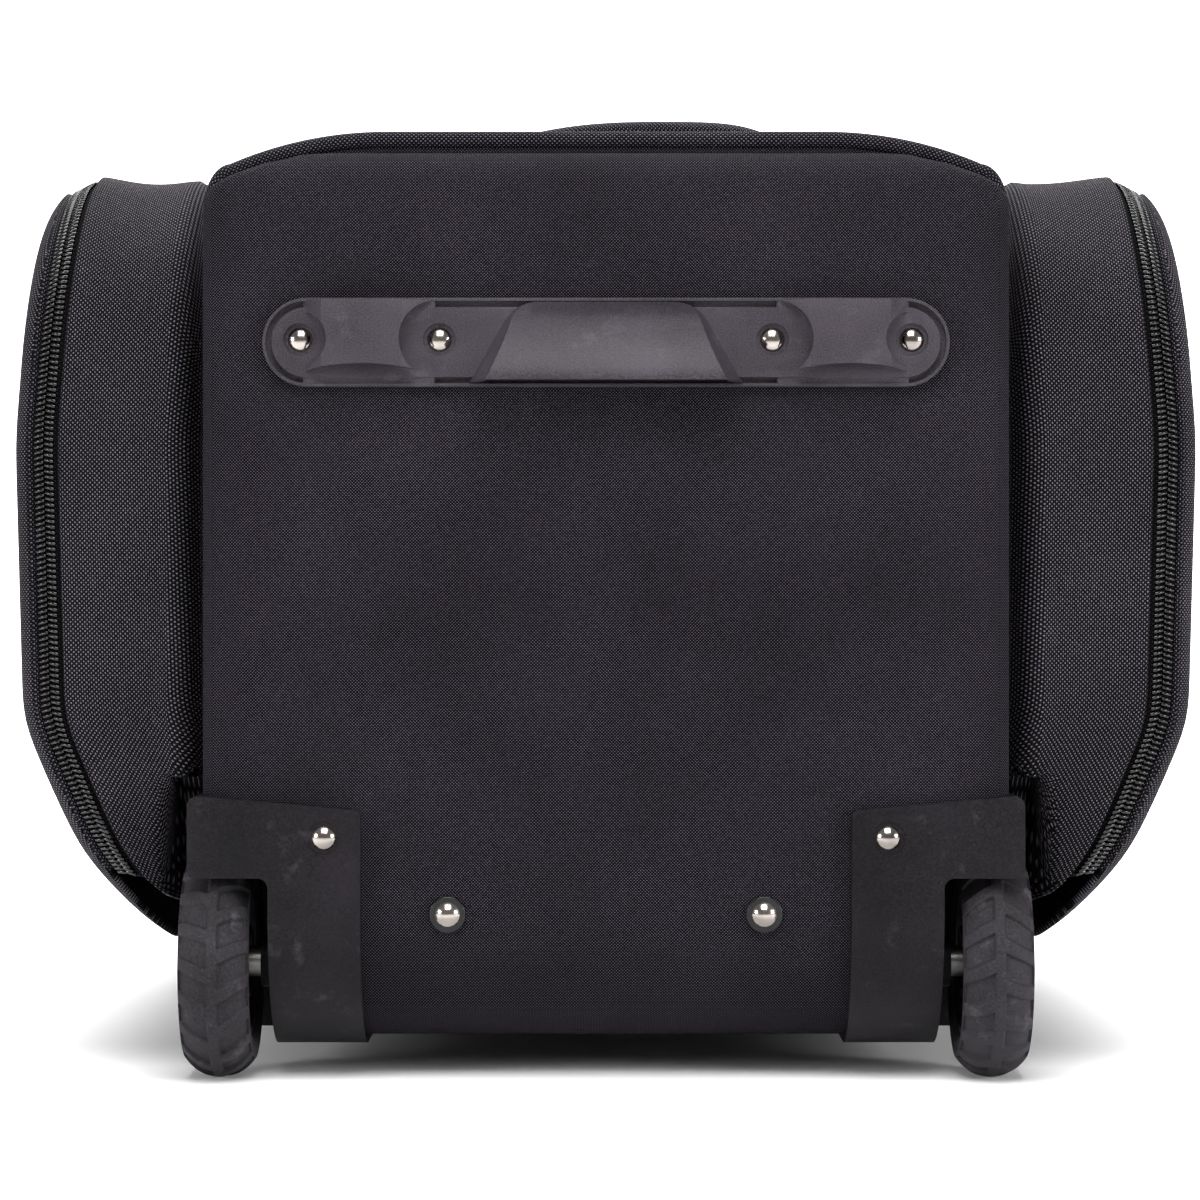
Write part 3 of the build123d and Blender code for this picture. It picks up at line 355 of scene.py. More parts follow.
def puff(made, pressure, cap, pins=None, frames=20):
    """Blows the cloth up with a little air and keeps each point within cap of its start."""
    if pressure == 0:
        return made
    mesh = made.data
    before = np.empty(len(mesh.vertices) * 3)
    mesh.vertices.foreach_get("co", before)
    cloth = made.modifiers.new("air", "CLOTH")
    settings = cloth.settings
    settings.quality = 5
    settings.tension_stiffness = 30
    settings.compression_stiffness = 30
    settings.bending_stiffness = 1.5
    settings.use_pressure = True
    settings.uniform_pressure_force = pressure
    settings.effector_weights.gravity = 0.0
    cloth.collision_settings.use_collision = False
    if pins is not None:
        group = made.vertex_groups.new(name="sewn")
        group.add([int(i) for i in np.nonzero(pins)[0]], 1.0, "REPLACE")
        settings.vertex_group_mass = "sewn"
    scene = bpy.context.scene
    for step in range(1, frames + 1):
        scene.frame_set(step)
    depsgraph = bpy.context.evaluated_depsgraph_get()
    after = np.empty(len(mesh.vertices) * 3)
    made.evaluated_get(depsgraph).data.vertices.foreach_get("co", after)
    made.modifiers.remove(cloth)
    if pins is not None:
        made.vertex_groups.remove(group)
    scene.frame_set(1)
    move = (after - before).reshape(-1, 3)
    reach = np.linalg.norm(move, axis=1, keepdims=True)
    limit = cap * MM
    move *= np.where(reach > 1e-9, limit * np.tanh(reach / limit) / np.maximum(reach, 1e-9), 1.0)
    mesh.vertices.foreach_set("co", (before.reshape(-1, 3) + move).ravel())
    mesh.update()
    return made


def padded_copy(node, name, material, voxel, pressure=0.0, cap=2.0, smooth=3, subdivide=0):
    """Padded fabric over a solid: remeshed evenly, its edges eased, and blown up where pressure is given."""
    made = copied(node, name, material)
    remesh = made.modifiers.new("even", "REMESH")
    remesh.mode = "VOXEL"
    remesh.voxel_size = voxel * MM
    ease = made.modifiers.new("eased edges", "SMOOTH")
    ease.factor = 0.5
    ease.iterations = smooth
    applied(made)
    puff(made, pressure, cap)
    if subdivide:
        finer = made.modifiers.new("finer", "SUBSURF")
        finer.levels = finer.render_levels = subdivide
        applied(made)
    made.data.polygons.foreach_set("use_smooth", [True] * len(made.data.polygons))
    made.data.materials.clear()
    made.data.materials.append(material)
    box_map(made.data)
    return made


def eased(node, name, material, width, segments=2):
    """Hard moulding with its sharp edges rounded over."""
    made = copied(node, name, material)
    mesh = made.data
    work = bmesh.new()
    work.from_mesh(mesh)
    bmesh.ops.dissolve_limit(work, angle_limit=math.radians(0.6), verts=work.verts, edges=work.edges)
    work.to_mesh(mesh)
    work.free()
    bevel = made.modifiers.new("eased edges", "BEVEL")
    bevel.width = width * MM
    bevel.segments = segments
    bevel.limit_method = "ANGLE"
    bevel.angle_limit = math.radians(28)
    bevel.use_clamp_overlap = True
    bevel.harden_normals = False
    applied(made)
    made.data.polygons.foreach_set("use_smooth", [True] * len(made.data.polygons))
    made.data.set_sharp_from_angle(angle=math.radians(32))
    return made


SLOT_OF = {entry["node"]: entry["material_slot"] for entry in frame["record"]["subparts"]}
FINISH = {"panel_fabric": PANEL_CLOTH, "pocket_fabric": BALLISTIC, "piping_fabric": PIPING,
          "lining_fabric": LINING, "webbing": WEBBING, "zip_tape": TAPE, "moulded_trim": TRIM,
          "housing_plastic": HOUSING, "wheel_plastic": NYLON, "tyre_rubber": RUBBER,
          "bright_rivet": NICKEL, "black_metal": ENAMEL, "zinc_steel": ZINC,
          "tube_aluminium": ANODISED, "board_plastic": BOARD}


def tube(name, path, radius, body, material, around, up=(0.0, 1.0, 0.0)):
    """Round cord along a path: circles square to it, closed at a point at each end."""
    along = unit(np.gradient(path, axis=0))
    side = unit(np.cross(along, up))
    other = np.cross(side, along)
    turn = np.linspace(0, 2 * np.pi, around + 1)
    ring = np.cos(turn)[None, :, None] * side[:, None] + np.sin(turn)[None, :, None] * other[:, None]
    first = np.repeat(path[:1, None], around + 1, 1)
    last = np.repeat(path[-1:, None], around + 1, 1)
    surface = np.concatenate([first, path[:, None] + ring * radius, last])
    return tidied(grid(name, surface, body, material, flip=True))


def pills(name, centres, long, wide, high, size, body, material):
    """Many small bars in one piece: each is a six-sided ring carried along, drawn in at the ends."""
    around = 6
    place = np.array([-1.0, -0.8, 0.8, 1.0])
    girth = np.array([0.35, 1.0, 1.0, 0.35])
    turn = np.linspace(0, 2 * np.pi, around, endpoint=False)
    length, width, height = np.asarray(size) / 2
    local = np.stack([np.repeat(place * length, around),
                      (girth[:, None] * np.cos(turn)[None] * width).ravel(),
                      (girth[:, None] * np.sin(turn)[None] * height).ravel()], 1)
    points = (centres[:, None] + local[None, :, :1] * long[:, None] + local[None, :, 1:2] * wide[:, None]
              + local[None, :, 2:] * high[:, None])
    i, j = np.meshgrid(np.arange(len(place) - 1), np.arange(around), indexing="ij")
    k = (j + 1) % around
    side = np.stack([i * around + j, i * around + k, (i + 1) * around + k, (i + 1) * around + j], -1)
    side = side.reshape(-1, 4)
    last = (len(place) - 1) * around
    caps = np.array([[0, 5, 4, 1], [1, 4, 3, 2]])
    faces = np.concatenate([side[:, ::-1], caps[:, ::-1], caps + last])
    count = len(centres)
    every = (faces[None] + (np.arange(count) * len(local))[:, None, None]).reshape(-1, 4)
    made = piece(name, points.reshape(-1, 3), every, body, material)
    work = bmesh.new()
    work.from_mesh(made.data)
    bmesh.ops.recalc_face_normals(work, faces=work.faces)
    work.to_mesh(made.data)
    work.free()
    return made


def evenly(path, step):
    """Fractional row numbers of places a step apart along a path, in millimetres."""
    run = np.concatenate([[0], np.cumsum(np.linalg.norm(np.diff(path, axis=0), axis=1))])
    count = int(run[-1] / step)
    return np.interp(np.arange(count) * step + step / 2, run, np.arange(len(path)))


def at(values, where):
    """Values between the rows of an array, at fractional rows."""
    low = np.clip(np.floor(where).astype(int), 0, len(values) - 2)
    part = (where - low)[:, None]
    return values[low] * (1 - part) + values[low + 1] * part


def unit(values):
    """Unit vectors."""
    return values / np.maximum(np.linalg.norm(values, axis=-1, keepdims=True), 1e-9)


def stitches(name, path, normal, body):
    """Line of lockstitches along a path."""
    length, gap, thick = 3.0, 1.1, 0.8
    where = evenly(path, length + gap)
    along = unit(at(np.gradient(path, axis=0), where))
    high = unit(at(normal, where))
    wide = unit(np.cross(along, high))
    centres = at(path, where) + high * 0.1
    return pills(name, centres, along, wide, high, (length, thick, thick), body, THREAD)


def coil_row(name, path, normal, across, shift, phase, body):
    """Half a coil zip: a short rounded bar for each turn, lying across the chain and a little askew."""
    where = evenly(path, COIL_PITCH)
    where = np.clip(where + phase * (where[1] - where[0]), 0, len(path) - 1)
    along = unit(at(np.gradient(path, axis=0), where))
    high = unit(at(normal, where))
    wide = unit(at(across, where))
    long = unit(wide + along * 0.22 * math.copysign(1, shift))
    centres = at(path, where) + wide * shift + high * 0.5
    return pills(name, centres, long, unit(np.cross(long, high)), high, COIL_BAR, body, COIL)


# ------------------------------------------------------------------ side pockets
def outer_x(z):
    """Distance of the pocket's outer face from the bag's middle plane at height z, corners smoothed."""
    heights = np.arange(14.0, 431.0)
    table = np.array(POCKET_SIDE)[::-1]
    raw = np.interp(heights, table[:, 0], table[:, 1])
    window = np.hanning(37)
    padded_ends = np.pad(raw, 18, mode="reflect", reflect_type="odd")
    soft = np.convolve(padded_ends, window / window.sum(), mode="valid")
    return np.interp(z, heights, soft)


def rim_loop(count):
    """Rounded rectangle seen from the side, in equal steps from the middle of its foot; with normals."""
    y, r = POCKET_Y - POCKET_CORNER, POCKET_CORNER
    low, high = POCKET_Z[0] + r, POCKET_Z[1] - r
    corners = [(y, low, -90), (y, high, 0), (-y, high, 90), (-y, low, 180)]
    parts = [np.array([[0.0, POCKET_Z[0]]])]
    for cy, cz, turn in corners:
        angle = np.radians(turn + np.linspace(0, 90, 60))
        parts.append(np.stack([cy + r * np.cos(angle), cz + r * np.sin(angle)], 1))
    parts.append(np.array([[0.0, POCKET_Z[0]]]))
    line = np.concatenate(parts)
    run = np.concatenate([[0], np.cumsum(np.linalg.norm(np.diff(line, axis=0), axis=1))])
    even = np.linspace(0, run[-1], count, endpoint=False)
    loop = np.stack([np.interp(even, run, line[:, k]) for k in (0, 1)], 1)
    ahead = np.roll(loop, -1, 0) - np.roll(loop, 1, 0)
    normal = unit(np.stack([ahead[:, 1], -ahead[:, 0]], 1))
    return loop, normal


def shoulder(depth):
    """How far the rim has drawn in, over a quarter-round shoulder, at a depth from the outer face."""
    reach = np.clip(SHOULDER_R - depth, 0, SHOULDER_R)
    return SHOULDER_R - np.sqrt(SHOULDER_R**2 - reach**2)


def pocket_skin(loop, normal, depth, side, lift=0.0):
    """Points on the pocket's rim band at depths from its outer face; lift raises them off it."""
    inward = shoulder(depth) - lift
    y = loop[:, None, 0] - normal[:, None, 0] * inward
    z = loop[:, None, 1] - normal[:, None, 1] * inward
    x = outer_x(z) - depth
    return np.stack([side * x, y, z], -1)


def clear_of_wheel(surface, side):
    """Draws the cloth back from the corner that the wheel and its housing stand in."""
    x, y, z = side * surface[..., 0], surface[..., 1], surface[..., 2]
    inside = np.clip((NOOK_X - x) / 6.0, 0, 1)
    short_y = np.clip(NOOK_Y - y, 0, None)
    short_z = np.clip(NOOK_Z - z, 0, None)
    both = (short_y > 0) & (short_z > 0)
    surface[..., 1] += np.where(both & (short_y <= short_z), short_y, 0) * inside
    surface[..., 2] += np.where(both & (short_y > short_z), short_z, 0) * inside
    return surface


def ripples(loop, depth, seed):
    """Slack in the gusset: a few long waves across it, deepest midway between zip and case."""
    rng = np.random.default_rng(seed)
    s = np.arange(len(loop))[:, None] / len(loop)
    width = depth / depth.max(axis=1, keepdims=True)
    wave = np.zeros(depth.shape)
    for count in (5, 9, 14, 23):
        shift, slant = rng.uniform(0, 2 * np.pi), rng.uniform(-2.5, 2.5)
        wave += np.sin(2 * np.pi * s * count + shift + slant * width * 2) / count**0.6
    return wave * np.sin(np.pi * np.clip(width, 0, 1)) ** 0.8


def pocket(side, name):
    """Gusset, cover, zip and stitching of one pocket."""
    door, case = f"{name}_pocket_door", "case"
    loop, normal = rim_loop(RIM_STEPS)
    steps = np.linspace(0, 1, BAND_STEPS)[None]
    deepest = outer_x(loop[:, 1:]) - POCKET_BACK_X
    depth = GUSSET_RIM + steps * (deepest - GUSSET_RIM)
    slack = ripples(loop, depth - GUSSET_RIM, 3 if side > 0 else 8)
    tuck = np.clip((steps - 0.72) / 0.1, 0, 1) * (4.0 + 20.0 * np.abs(normal[:, :1]) ** 2)
    lift = slack * 2.2 * np.clip((0.8 - steps) * 6, 0, 1) - 2.4 * np.sin(np.pi * steps) - tuck
    band = pocket_skin(loop, normal, depth, side, lift=lift)
    centre = np.array([side * POCKET_BACK_X, 20.0, 190.0])
    shrink = np.linspace(1, 0, BAND_STEPS)[None, 1:, None]
    edge = band[:, -1:].copy()
    back = centre + (edge - centre) * shrink
    tray = clear_of_wheel(np.concatenate([band, back], 1), side)
    round_rim = np.repeat(np.arange(RIM_STEPS + 1)[:, None] * RIM_STEP, BAND_STEPS, 1)
    flat_band = np.stack([round_rim, np.vstack([depth, depth[:1]])], -1)
    flat = np.concatenate([flat_band, np.vstack([back, back[:1]])[..., 1:]], 1)
    gusset = grid(f"{name} pocket gusset", tray, case, BALLISTIC, wrap=True,
                  flip=side < 0, uv=flat)
    pins = np.zeros(tray.shape[:2], dtype=bool)
    pins[:, 0] = pins[:, BAND_STEPS - 2:] = True
    puff(gusset, 1.2, 3.0, pins.ravel(), frames=14)
    wall = gusset.modifiers.new("cloth and foam", "SOLIDIFY")
    wall.thickness, wall.offset = POCKET_WALL * MM, -1.0
    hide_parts(f"{name}_pocket_gusset")

    ring = np.concatenate([np.linspace(COVER_RIM, 0.8, 9), [0.0]])
    rim = pocket_skin(loop, normal, np.repeat(ring[None], RIM_STEPS, 0), side)
    middle = np.array([0.0, 20.0, 200.0])
    close = np.linspace(1, 0, 44)[None, 1:, None]
    start = rim[:, -1:]
    plane = middle[None, None, 1:] + (start[..., 1:] - middle[None, None, 1:]) * close
    away = 1 - close[..., 0]
    low_belly = np.sin(np.pi * np.clip((plane[..., 1] - 45) / 150, 0, 1)) ** 2
    quilt = 2.2 * (1 - (1 - away) ** 4) * low_belly * 0.4
    face = np.concatenate([(side * (outer_x(plane[..., 1]) + quilt))[..., None], plane], -1)
    shell = np.concatenate([rim, face], 1)
    laid = np.vstack([shell, shell[:1]])[..., 1:].copy()
    cover = grid(f"{name} pocket cover", shell, door, BALLISTIC, wrap=True,
                 flip=side > 0, uv=laid)
    pins = np.zeros(shell.shape[:2], dtype=bool)
    pins[:, :len(ring)] = True
    puff(cover, 1.5, 5.0, pins.ravel(), frames=16)
    wall = cover.modifiers.new("cloth and foam", "SOLIDIFY")
    wall.thickness, wall.offset = POCKET_WALL * MM, -1.0
    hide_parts(f"{name}_pocket_cover")

    fine, outward = rim_loop(1200)
    up = fine[:, 1] > ZIP_FOOT_Z
    order = np.nonzero(up)[0]
    fine, outward = fine[order], outward[order]

    def along_zip(depth_at, lift=0.0):
        return pocket_skin(fine, outward, np.full((len(fine), 1), depth_at), side, lift)[:, 0]

    line = along_zip(ZIP_MID)
    normal3 = np.concatenate([np.zeros((len(fine), 1)), outward], 1)
    toward = unit(along_zip(ZIP_MID - 2.0) - along_zip(ZIP_MID + 2.0))
    normal3 = unit(normal3 + np.array([[side * 0.16, 0, 0]]))
    halves = ((door, "cover", 1, COVER_RIM - 1.5, ZIP_MID - 0.4),
              (case, "gusset", -1, ZIP_MID + 0.4, GUSSET_RIM + 1.5))
    for body, half, sign, d0, d1 in halves:
        across = np.linspace(d0, d1, 9)
        strip = np.stack([along_zip(d, -1.4) for d in across], 1)
        tape = grid(f"{name} zip tape {half} half", strip, body, TAPE, flip=side < 0)
        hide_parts(f"{name}_pocket_zip_{half}_half")
        wall = tape.modifiers.new("tape", "SOLIDIFY")
        wall.thickness = TAPE_THICK * MM
        coil_row(f"{name} zip coil {half} half", along_zip(ZIP_MID, -0.6), normal3, toward,
                 sign * COIL_SHIFT, 0.5 * (sign > 0), body)
    tube(f"{name} cover binding", along_zip(COVER_RIM - 1.0, 0.6), 2.1, door, PIPING, 10,
         up=(1.0, 0.0, 0.0))
    tube(f"{name} gusset binding", along_zip(GUSSET_RIM + 0.6, 0.2), 1.3, case, PIPING, 8,
         up=(1.0, 0.0, 0.0))
    for shift, body, half in ((COVER_RIM - 5.5, door, "cover"), (GUSSET_RIM + 6.0, case, "gusset")):
        stitches(f"{name} seam stitches {half}", along_zip(shift, 0.1), normal3, body)


# ------------------------------------------------------------------ wheels
def tyre(side, name):
    """Crowned tyre: radius is the crown minus the depth of chevron panels set in two staggered rows."""
    turns, widths = 900, 57
    angle = np.linspace(0, 2 * np.pi, turns, endpoint=False)[:, None]
    w = np.linspace(-1, 1, widths)[None]
    crest = TYRE_R - TREAD_FALL * np.abs(w) ** 2.6
    slant = 0.42
    row = np.where(w > 0, 0.0, 0.5)
    place = angle / (2 * np.pi) * TREAD_COUNT + row + side * slant * (np.abs(w) - 0.5)
    cell = np.abs(((place % 1.0) - 0.5) * 2)
    panel = np.clip((0.66 - cell) / 0.10, 0, 1)
    reach = np.clip((np.abs(w) - 0.13) / 0.05, 0, 1) * np.clip((0.99 - np.abs(w)) / 0.05, 0, 1)
    radius = crest - 1.7 * panel * reach
    tread = np.stack([w * TYRE_HALF_W + 0 * angle, radius * np.sin(angle), radius * np.cos(angle)], -1)

    def wall(sign):
        fall = np.linspace(0, 1, 9)[None, 1:]
        edge = TYRE_R - TREAD_FALL
        r = edge + (TYRE_BORE - edge) * fall
        bulge = TYRE_HALF_W + 0.4 * np.sin(np.pi * fall) - 1.6 * fall**2
        flank = 1.0 - 0.5 * np.exp(-((fall - 0.45) / 0.08) ** 2) / bulge
        return np.stack([sign * bulge * flank + 0 * angle, r * np.sin(angle), r * np.cos(angle)], -1)

    inner, outer = wall(-1)[:, ::-1], wall(1)
    surface = np.concatenate([inner, tread, outer, inner[:, :1]], 1)
    surface += np.array([side * WHEEL_X, WHEEL_Y, TYRE_R])
    made = grid(f"{name} treaded tyre", surface, f"{name}_wheel", RUBBER, wrap=True)
    made.data.set_sharp_from_angle(angle=math.radians(50))
    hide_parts(f"{name}_tyre")
    return tidied(made)


# ------------------------------------------------------------------ case trim
def crown(x):
    """Height of the case's top: level, then a long round shoulder on either side."""
    return CROWN_Z - CROWN_R + np.sqrt(CROWN_R**2 - np.clip(np.abs(x) - CROWN_FLAT, 0, None) ** 2)


def end_cord(sign, name, replaced):
    """Corded piping over the top of an end panel and down its sides."""
    y = sign * PIPING_Y
    span = np.linspace(-PIPING_X, PIPING_X, 240)
    roof = np.stack([span, np.full(240, y), crown(span) + 2.6], 1)
    fall = np.linspace(0, 1, 140)[1:, None]
    corner = np.radians(90 * np.clip(fall * 9, 0, 1))
    drop = np.clip(fall * 9 - 1, 0, None) / 8 * PIPING_DROP
    right = np.concatenate([PIPING_X + 8.0 * np.sin(corner), y + 0 * fall,
                            crown(PIPING_X) + 2.6 - 16.0 * (1 - np.cos(corner)) - drop], 1)
    left = right * np.array([-1.0, 1.0, 1.0])
    path = np.concatenate([left[::-1], roof, right])
    made = tube(name, path, PIPING_R, "case", PIPING, 16)
    hem = np.linspace(0, 9.0, 5)
    flange = np.stack([roof - np.array([0.0, 0.0, drop_by]) for drop_by in hem], 1)
    sewn = grid(f"{name} flange", flange, "case", PANEL_CLOTH, flip=True)
    wall = sewn.modifiers.new("two layers", "SOLIDIFY")
    wall.thickness, wall.offset = 3.0 * MM, 0.0
    if replaced:
        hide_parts(replaced)
    return made


def ribbon(name, path, normal, half_width, thick, body, material):
    """Flat webbing along a path in the X-Z plane, as wide as twice half_width along Y."""
    v = np.linspace(-half_width, half_width, 15)
    surface = path[:, None] + np.stack([0 * v, v, 0 * v], 1)[None]
    surface = surface + normal[:, None] * (0.25 * np.cos(v / half_width * math.pi / 2)[None, :, None])
    made = grid(name, surface, body, material, flip=True)
    wall = made.modifiers.new("webbing", "SOLIDIFY")
    wall.thickness, wall.offset = thick * MM, 0.0
    return made


def carry_line(count=160):
    """Middle line of the carry strap: flat on the lid at both ends, with one arch between."""
    feet = [(-112.0, crown(-112.0) + 2.0), (-88.0, crown(-88.0) + 2.0), (96.0, crown(96.0) + 2.0),
            (116.0, crown(116.0) + 2.0)]
    t = np.linspace(0, 1, count)
    x = feet[1][0] + (feet[2][0] - feet[1][0]) * t
    base = feet[1][1] + (feet[2][1] - feet[1][1]) * t
    rising = x < CARRY_PEAK_X
    reach = np.where(rising, (CARRY_PEAK_X - x) / 114.0, (x - CARRY_PEAK_X) / 70.0)
    z = base + CARRY_RISE * (1 - reach ** np.where(rising, 2.6, 4.0))
    left = np.linspace(feet[0], feet[1], 16)[:-1]
    right = np.linspace(feet[2], feet[3], 16)[1:]
    line = np.concatenate([left, np.stack([x, z], 1), right])
    return np.stack([line[:, 0], 0 * line[:, 0], line[:, 1]], 1)


def carry_handle():
    """Webbing strap with its padded sleeve and its box stitching."""
    path = carry_line()
    along = unit(np.gradient(path, axis=0))
    normal = unit(np.cross(along, np.array([0.0, 1.0, 0.0]))) * -1
    normal *= np.sign(normal[:, 2:])
    strap = ribbon("carry strap", path, normal, 19.0, 2.4, "lid", WEBBING)
    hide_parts("carry_strap")
    turn = np.linspace(0, 2 * np.pi, 48, endpoint=False)
    part = slice(24, 168)
    mid, nrm = path[part], normal[part]
    t = np.linspace(0, 1, len(mid))
    full = np.clip(np.minimum(t, 1 - t) / 0.05, 0, 1) ** 0.5
    y = 23.0 * np.sign(np.cos(turn)) * np.abs(np.cos(turn)) ** 0.35
    z = 7.0 * np.sign(np.sin(turn)) * np.abs(np.sin(turn)) ** 0.7
    swell = (0.75 + 0.25 * full)[:, None]
    surface = mid[:, None] + np.stack([0 * y, y, 0 * y], 1)[None]
    surface = surface + nrm[:, None] * (z[None, :, None] * swell[..., None])
    ends = [np.repeat(mid[k:k + 1, None], 48, 1) for k in (0, len(mid) - 1)]
    surface = np.concatenate([ends[0], surface, ends[1]])
    surface = np.swapaxes(surface, 0, 1)
    sleeve = tidied(grid("padded carry sleeve", surface, "lid", BALLISTIC, wrap=True))
    puff(sleeve, 3.0, 3.0)
    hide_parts("carry_grip")
    for label, edge in (("rear", -17.5), ("front", 17.5)):
        seam = mid[4:-4] + nrm[4:-4] * 6.3 + np.array([0, edge, 0])
        stitches(f"sleeve seam {label}", seam, nrm[4:-4], "lid")
    for label, x0, x1 in (("left", -111.0, -91.0), ("right", 99.0, 115.0)):
        route = ((x0, -15), (x1, -15), (x1, 15), (x0, 15), (x0, -15), (x1, 15), (x1, -15), (x0, 15))
        corners = np.array(route, dtype=float)
        legs = [np.linspace(a, b, 30) for a, b in zip(corners[:-1], corners[1:])]
        flat = np.concatenate(legs)
        box = np.stack([flat[:, 0], flat[:, 1], crown(flat[:, 0]) + 3.5], 1)
        stitches(f"box stitch {label}", box, np.tile([0.0, 0.0, 1.0], (len(box), 1)), "lid")


def lid_loop(inset, count=700):
    """Zip line of the lid: from the hinge side's rear corner, round the other three sides."""
    x0, x1, y, r = -128.0 + inset, 120.0, 232.0 - inset, 34.0 - inset
    angle = np.radians(np.linspace(0, 90, 40))
    rear = np.stack([x0 + r - r * np.sin(angle), -(y - r) - r * np.cos(angle)], 1)
    front = rear[::-1] * np.array([1.0, -1.0])
    line = np.concatenate([[[x1, -y]], rear, front, [[x1, y]]])
    run = np.concatenate([[0], np.cumsum(np.linalg.norm(np.diff(line, axis=0), axis=1))])
    even = np.linspace(0, run[-1], count)
    flat = np.stack([np.interp(even, run, line[:, k]) for k in (0, 1)], 1)
    return np.stack([flat[:, 0], flat[:, 1], crown(flat[:, 0])], 1)


def lid_zip():
    """Coil zip round three sides of the lid."""
    def line(inset, lift):
        return lid_loop(inset) + np.array([0.0, 0.0, lift])

    over = lid_loop(5.0)[:, 0]
    lean = np.sign(over) * np.clip(np.abs(over) - CROWN_FLAT, 0, None) / CROWN_R
    up = unit(np.stack([lean, np.zeros(len(over)), np.sqrt(1 - lean**2)], 1))
    toward = unit(lid_loop(7.0) - lid_loop(3.0))
    halves = (("lid", "lid", 1, 5.3, 11.5), ("case", "frame", -1, -1.5, 4.7))
    for body, half, sign, d0, d1 in halves:
        strip = np.stack([line(d, -1.2) for d in np.linspace(d0, d1, 8)], 1)
        tape = grid(f"lid zip tape {half} half", strip, body, TAPE, flip=True)
        wall = tape.modifiers.new("tape", "SOLIDIFY")
        wall.thickness = TAPE_THICK * MM
        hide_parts(f"lid_zip_{half}_half")
        coil_row(f"lid zip coil {half} half", line(5.0, -0.7), up, toward, sign * COIL_SHIFT,
                 0.5 * (sign > 0), body)
    for inset, body in ((15.0, "lid"), (-5.0, "case")):
        stitches(f"lid seam stitches {body}", line(inset, 0.5), up, body)


# ------------------------------------------------------------------ camera, light and floor
def studio():
    """Pale sweep, a broad light overhead, softer ones at both sides, a wash on the backdrop and a fill from
    the far side.
    """
    scene = bpy.context.scene
    camera = bpy.data.objects.new("camera", bpy.data.cameras.new("camera"))
    scene.collection.objects.link(camera)
    camera.location = (-0.0023, -1.784, 0.187)
    camera.rotation_euler = (math.pi / 2, 0.0, 0.0)
    camera.data.lens = 116.9
    camera.data.sensor_width = 36.0
    camera.data.clip_start, camera.data.clip_end = 0.01, 60.0
    scene.camera = camera
    world = bpy.data.worlds.new("white studio")
    world.use_nodes = True
    world.node_tree.nodes["Background"].inputs[0].default_value = (1.0, 1.0, 1.0, 1.0)
    world.node_tree.nodes["Background"].inputs[1].default_value = 0.26
    scene.world = world
    scene.view_settings.view_transform = "Standard"
    lights = (("overhead", (0.0, -1.2, 1.4), (math.radians(42), 0, 0), 1.0, 30.0),
              ("left strip", (-1.6, -1.1, 0.5), (math.radians(84), 0, math.radians(-60)), 0.5, 17.0),
              ("right strip", (1.6, -1.1, 0.5), (math.radians(84), 0, math.radians(60)), 0.5, 20.0),
              ("backdrop wash", (0.0, 1.2, 2.6), (math.radians(28), 0, 0), 2.4, 190.0),
              ("far side fill", (0.0, 2.6, 1.2), (math.radians(-62), 0, 0), 1.4, 12.0))
    for name, place, turn, size, power in lights:
        data = bpy.data.lights.new(name, "AREA")
        data.shape, data.size, data.energy = "SQUARE", size, power
        lamp = bpy.data.objects.new(name, data)
        lamp.location, lamp.rotation_euler = place, turn
        scene.collection.objects.link(lamp)
    y = np.linspace(0, 1, 60)
    run = np.where(y < 0.5, -4.0 + y * 12.0, 2.0 + 1.6 * np.sin((y - 0.5) * math.pi))
    rise = np.where(y < 0.5, 0.0, 2.56 * (1 - np.cos((y - 0.5) * math.pi)))
    x = np.linspace(-5, 5, 3)
    sweep = np.stack(np.broadcast_arrays(x[None], run[:, None], rise[:, None]), -1)
    mesh = bpy.data.meshes.new("studio sweep")
    mesh.from_pydata(sweep.reshape(-1, 3).tolist(), [], quads(60, 3).tolist())
    mesh.polygons.foreach_set("use_smooth", [True] * len(mesh.polygons))
    floor = bpy.data.objects.new("studio sweep", mesh)
    scene.collection.objects.link(floor)
    paper = start("white background paper", "#fbfbfb", 0.9)[0]
    mesh.materials.append(paper)


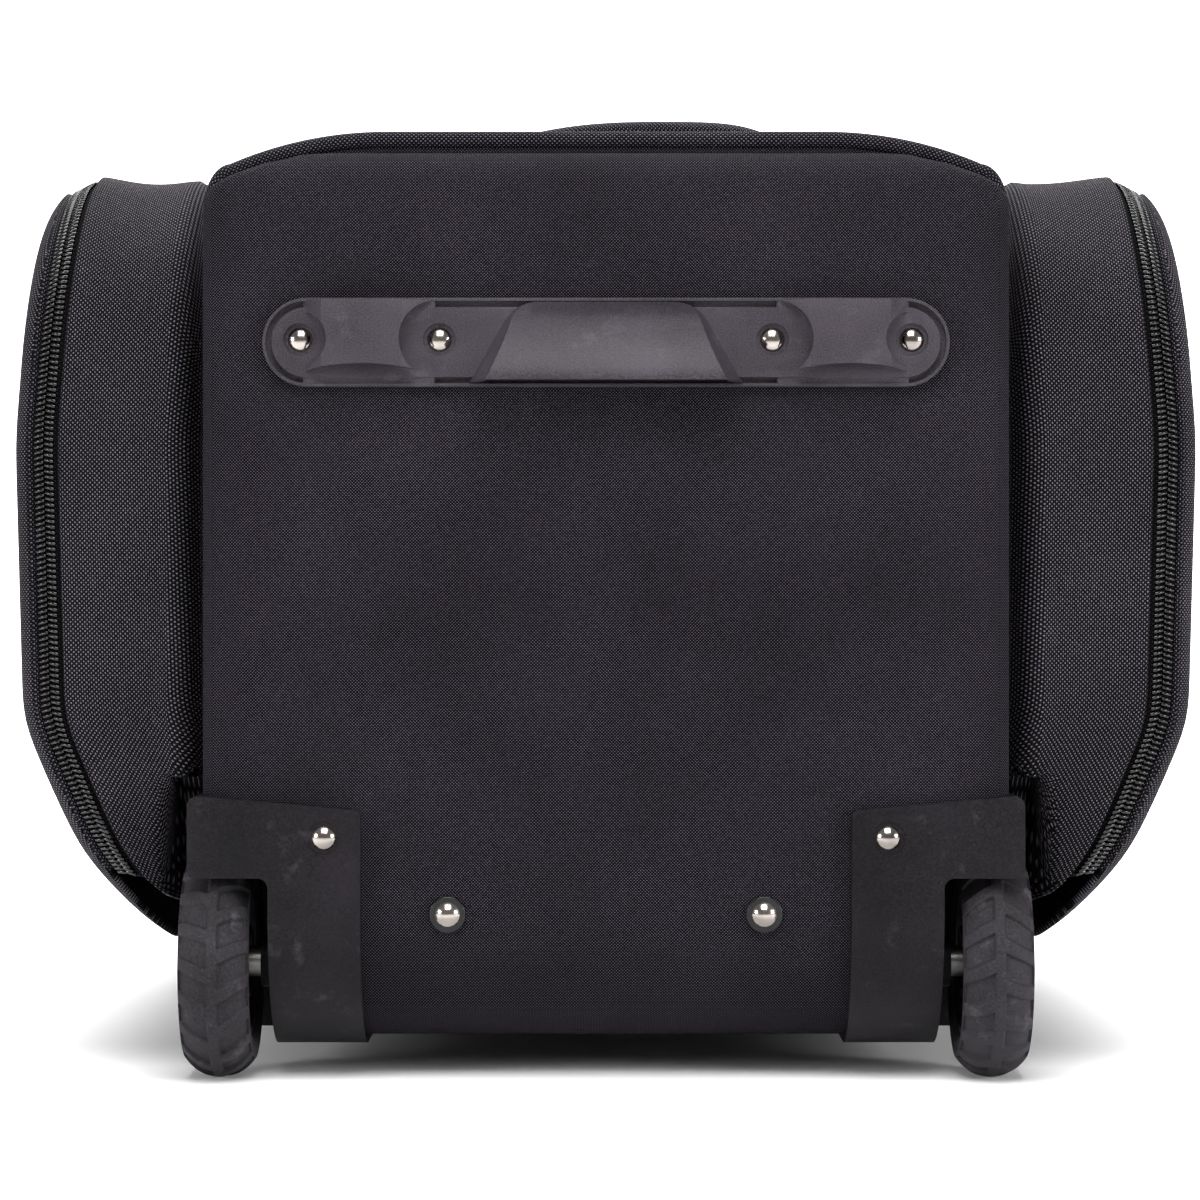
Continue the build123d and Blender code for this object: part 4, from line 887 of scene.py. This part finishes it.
# ------------------------------------------------------------------ the bag
studio()
padded_copy("rear_panel", "wheel end panel", PANEL_CLOTH, 4.0, subdivide=1)
padded_copy("front_panel", "handle end panel", PANEL_CLOTH, 4.0, subdivide=1)
padded_copy("base_panel", "base panel", PANEL_CLOTH, 4.5, smooth=4)
padded_copy("right_side_wall", "right side wall", PANEL_CLOTH, 3.2)
padded_copy("left_side_wall", "left side wall", PANEL_CLOTH, 3.2)
padded_copy("top_frame", "top frame", PANEL_CLOTH, 2.6)
padded_copy("main_lid", "zipped lid", PANEL_CLOTH, 2.8, 2.0, 2.5)
padded_copy("rear_ball_cup", "rear ball cup", LINING, 5.0, 3.0, 4.0, subdivide=1, smooth=4)
padded_copy("front_ball_cup", "front ball cup", LINING, 5.0, 3.0, 4.0, subdivide=1, smooth=4)
padded_copy("ball_divider", "ball divider", LINING, 4.5, 4.0, 5.0, subdivide=1, smooth=4)
for end, label, done in ((-1, "wheel end piping", "end_piping"), (1, "handle end piping", None)):
    end_cord(end, label, done)
carry_handle()
lid_zip()
for side, name in ((1, "right"), (-1, "left")):
    pocket(side, name)
    tyre(side, name)
    eased(f"{name}_wheel_housing", f"{name} housing moulding", HOUSING, 1.1, 3)
    eased(f"{name}_wheel_rim", f"{name} spoked rim", NYLON, 0.5)
    eased(f"{name}_pocket_slider", f"{name} pocket slider body", ENAMEL, 0.25)
    eased(f"{name}_pocket_pull", f"{name} pocket pull tab", ENAMEL, 0.3)
eased("lift_grip", "lift grip moulding", TRIM, 1.0, 3)
eased("handle_bezel", "handle bezel moulding", HOUSING, 0.7)
eased("pull_grip", "pull grip moulding", TRIM, 0.8)
eased("front_feet", "feet mouldings", HOUSING, 0.8)
eased("skid_rails", "skid mouldings", HOUSING, 1.6, 3)
for end in ("rear", "front"):
    eased(f"lid_slider_{end}", f"lid slider {end} body", ENAMEL, 0.25)
    eased(f"lid_pull_{end}", f"lid pull {end} tab", ENAMEL, 0.3)
for node, thing in NODES.items():
    thing.data.materials.clear()
    thing.data.materials.append(FINISH[SLOT_OF[node]])
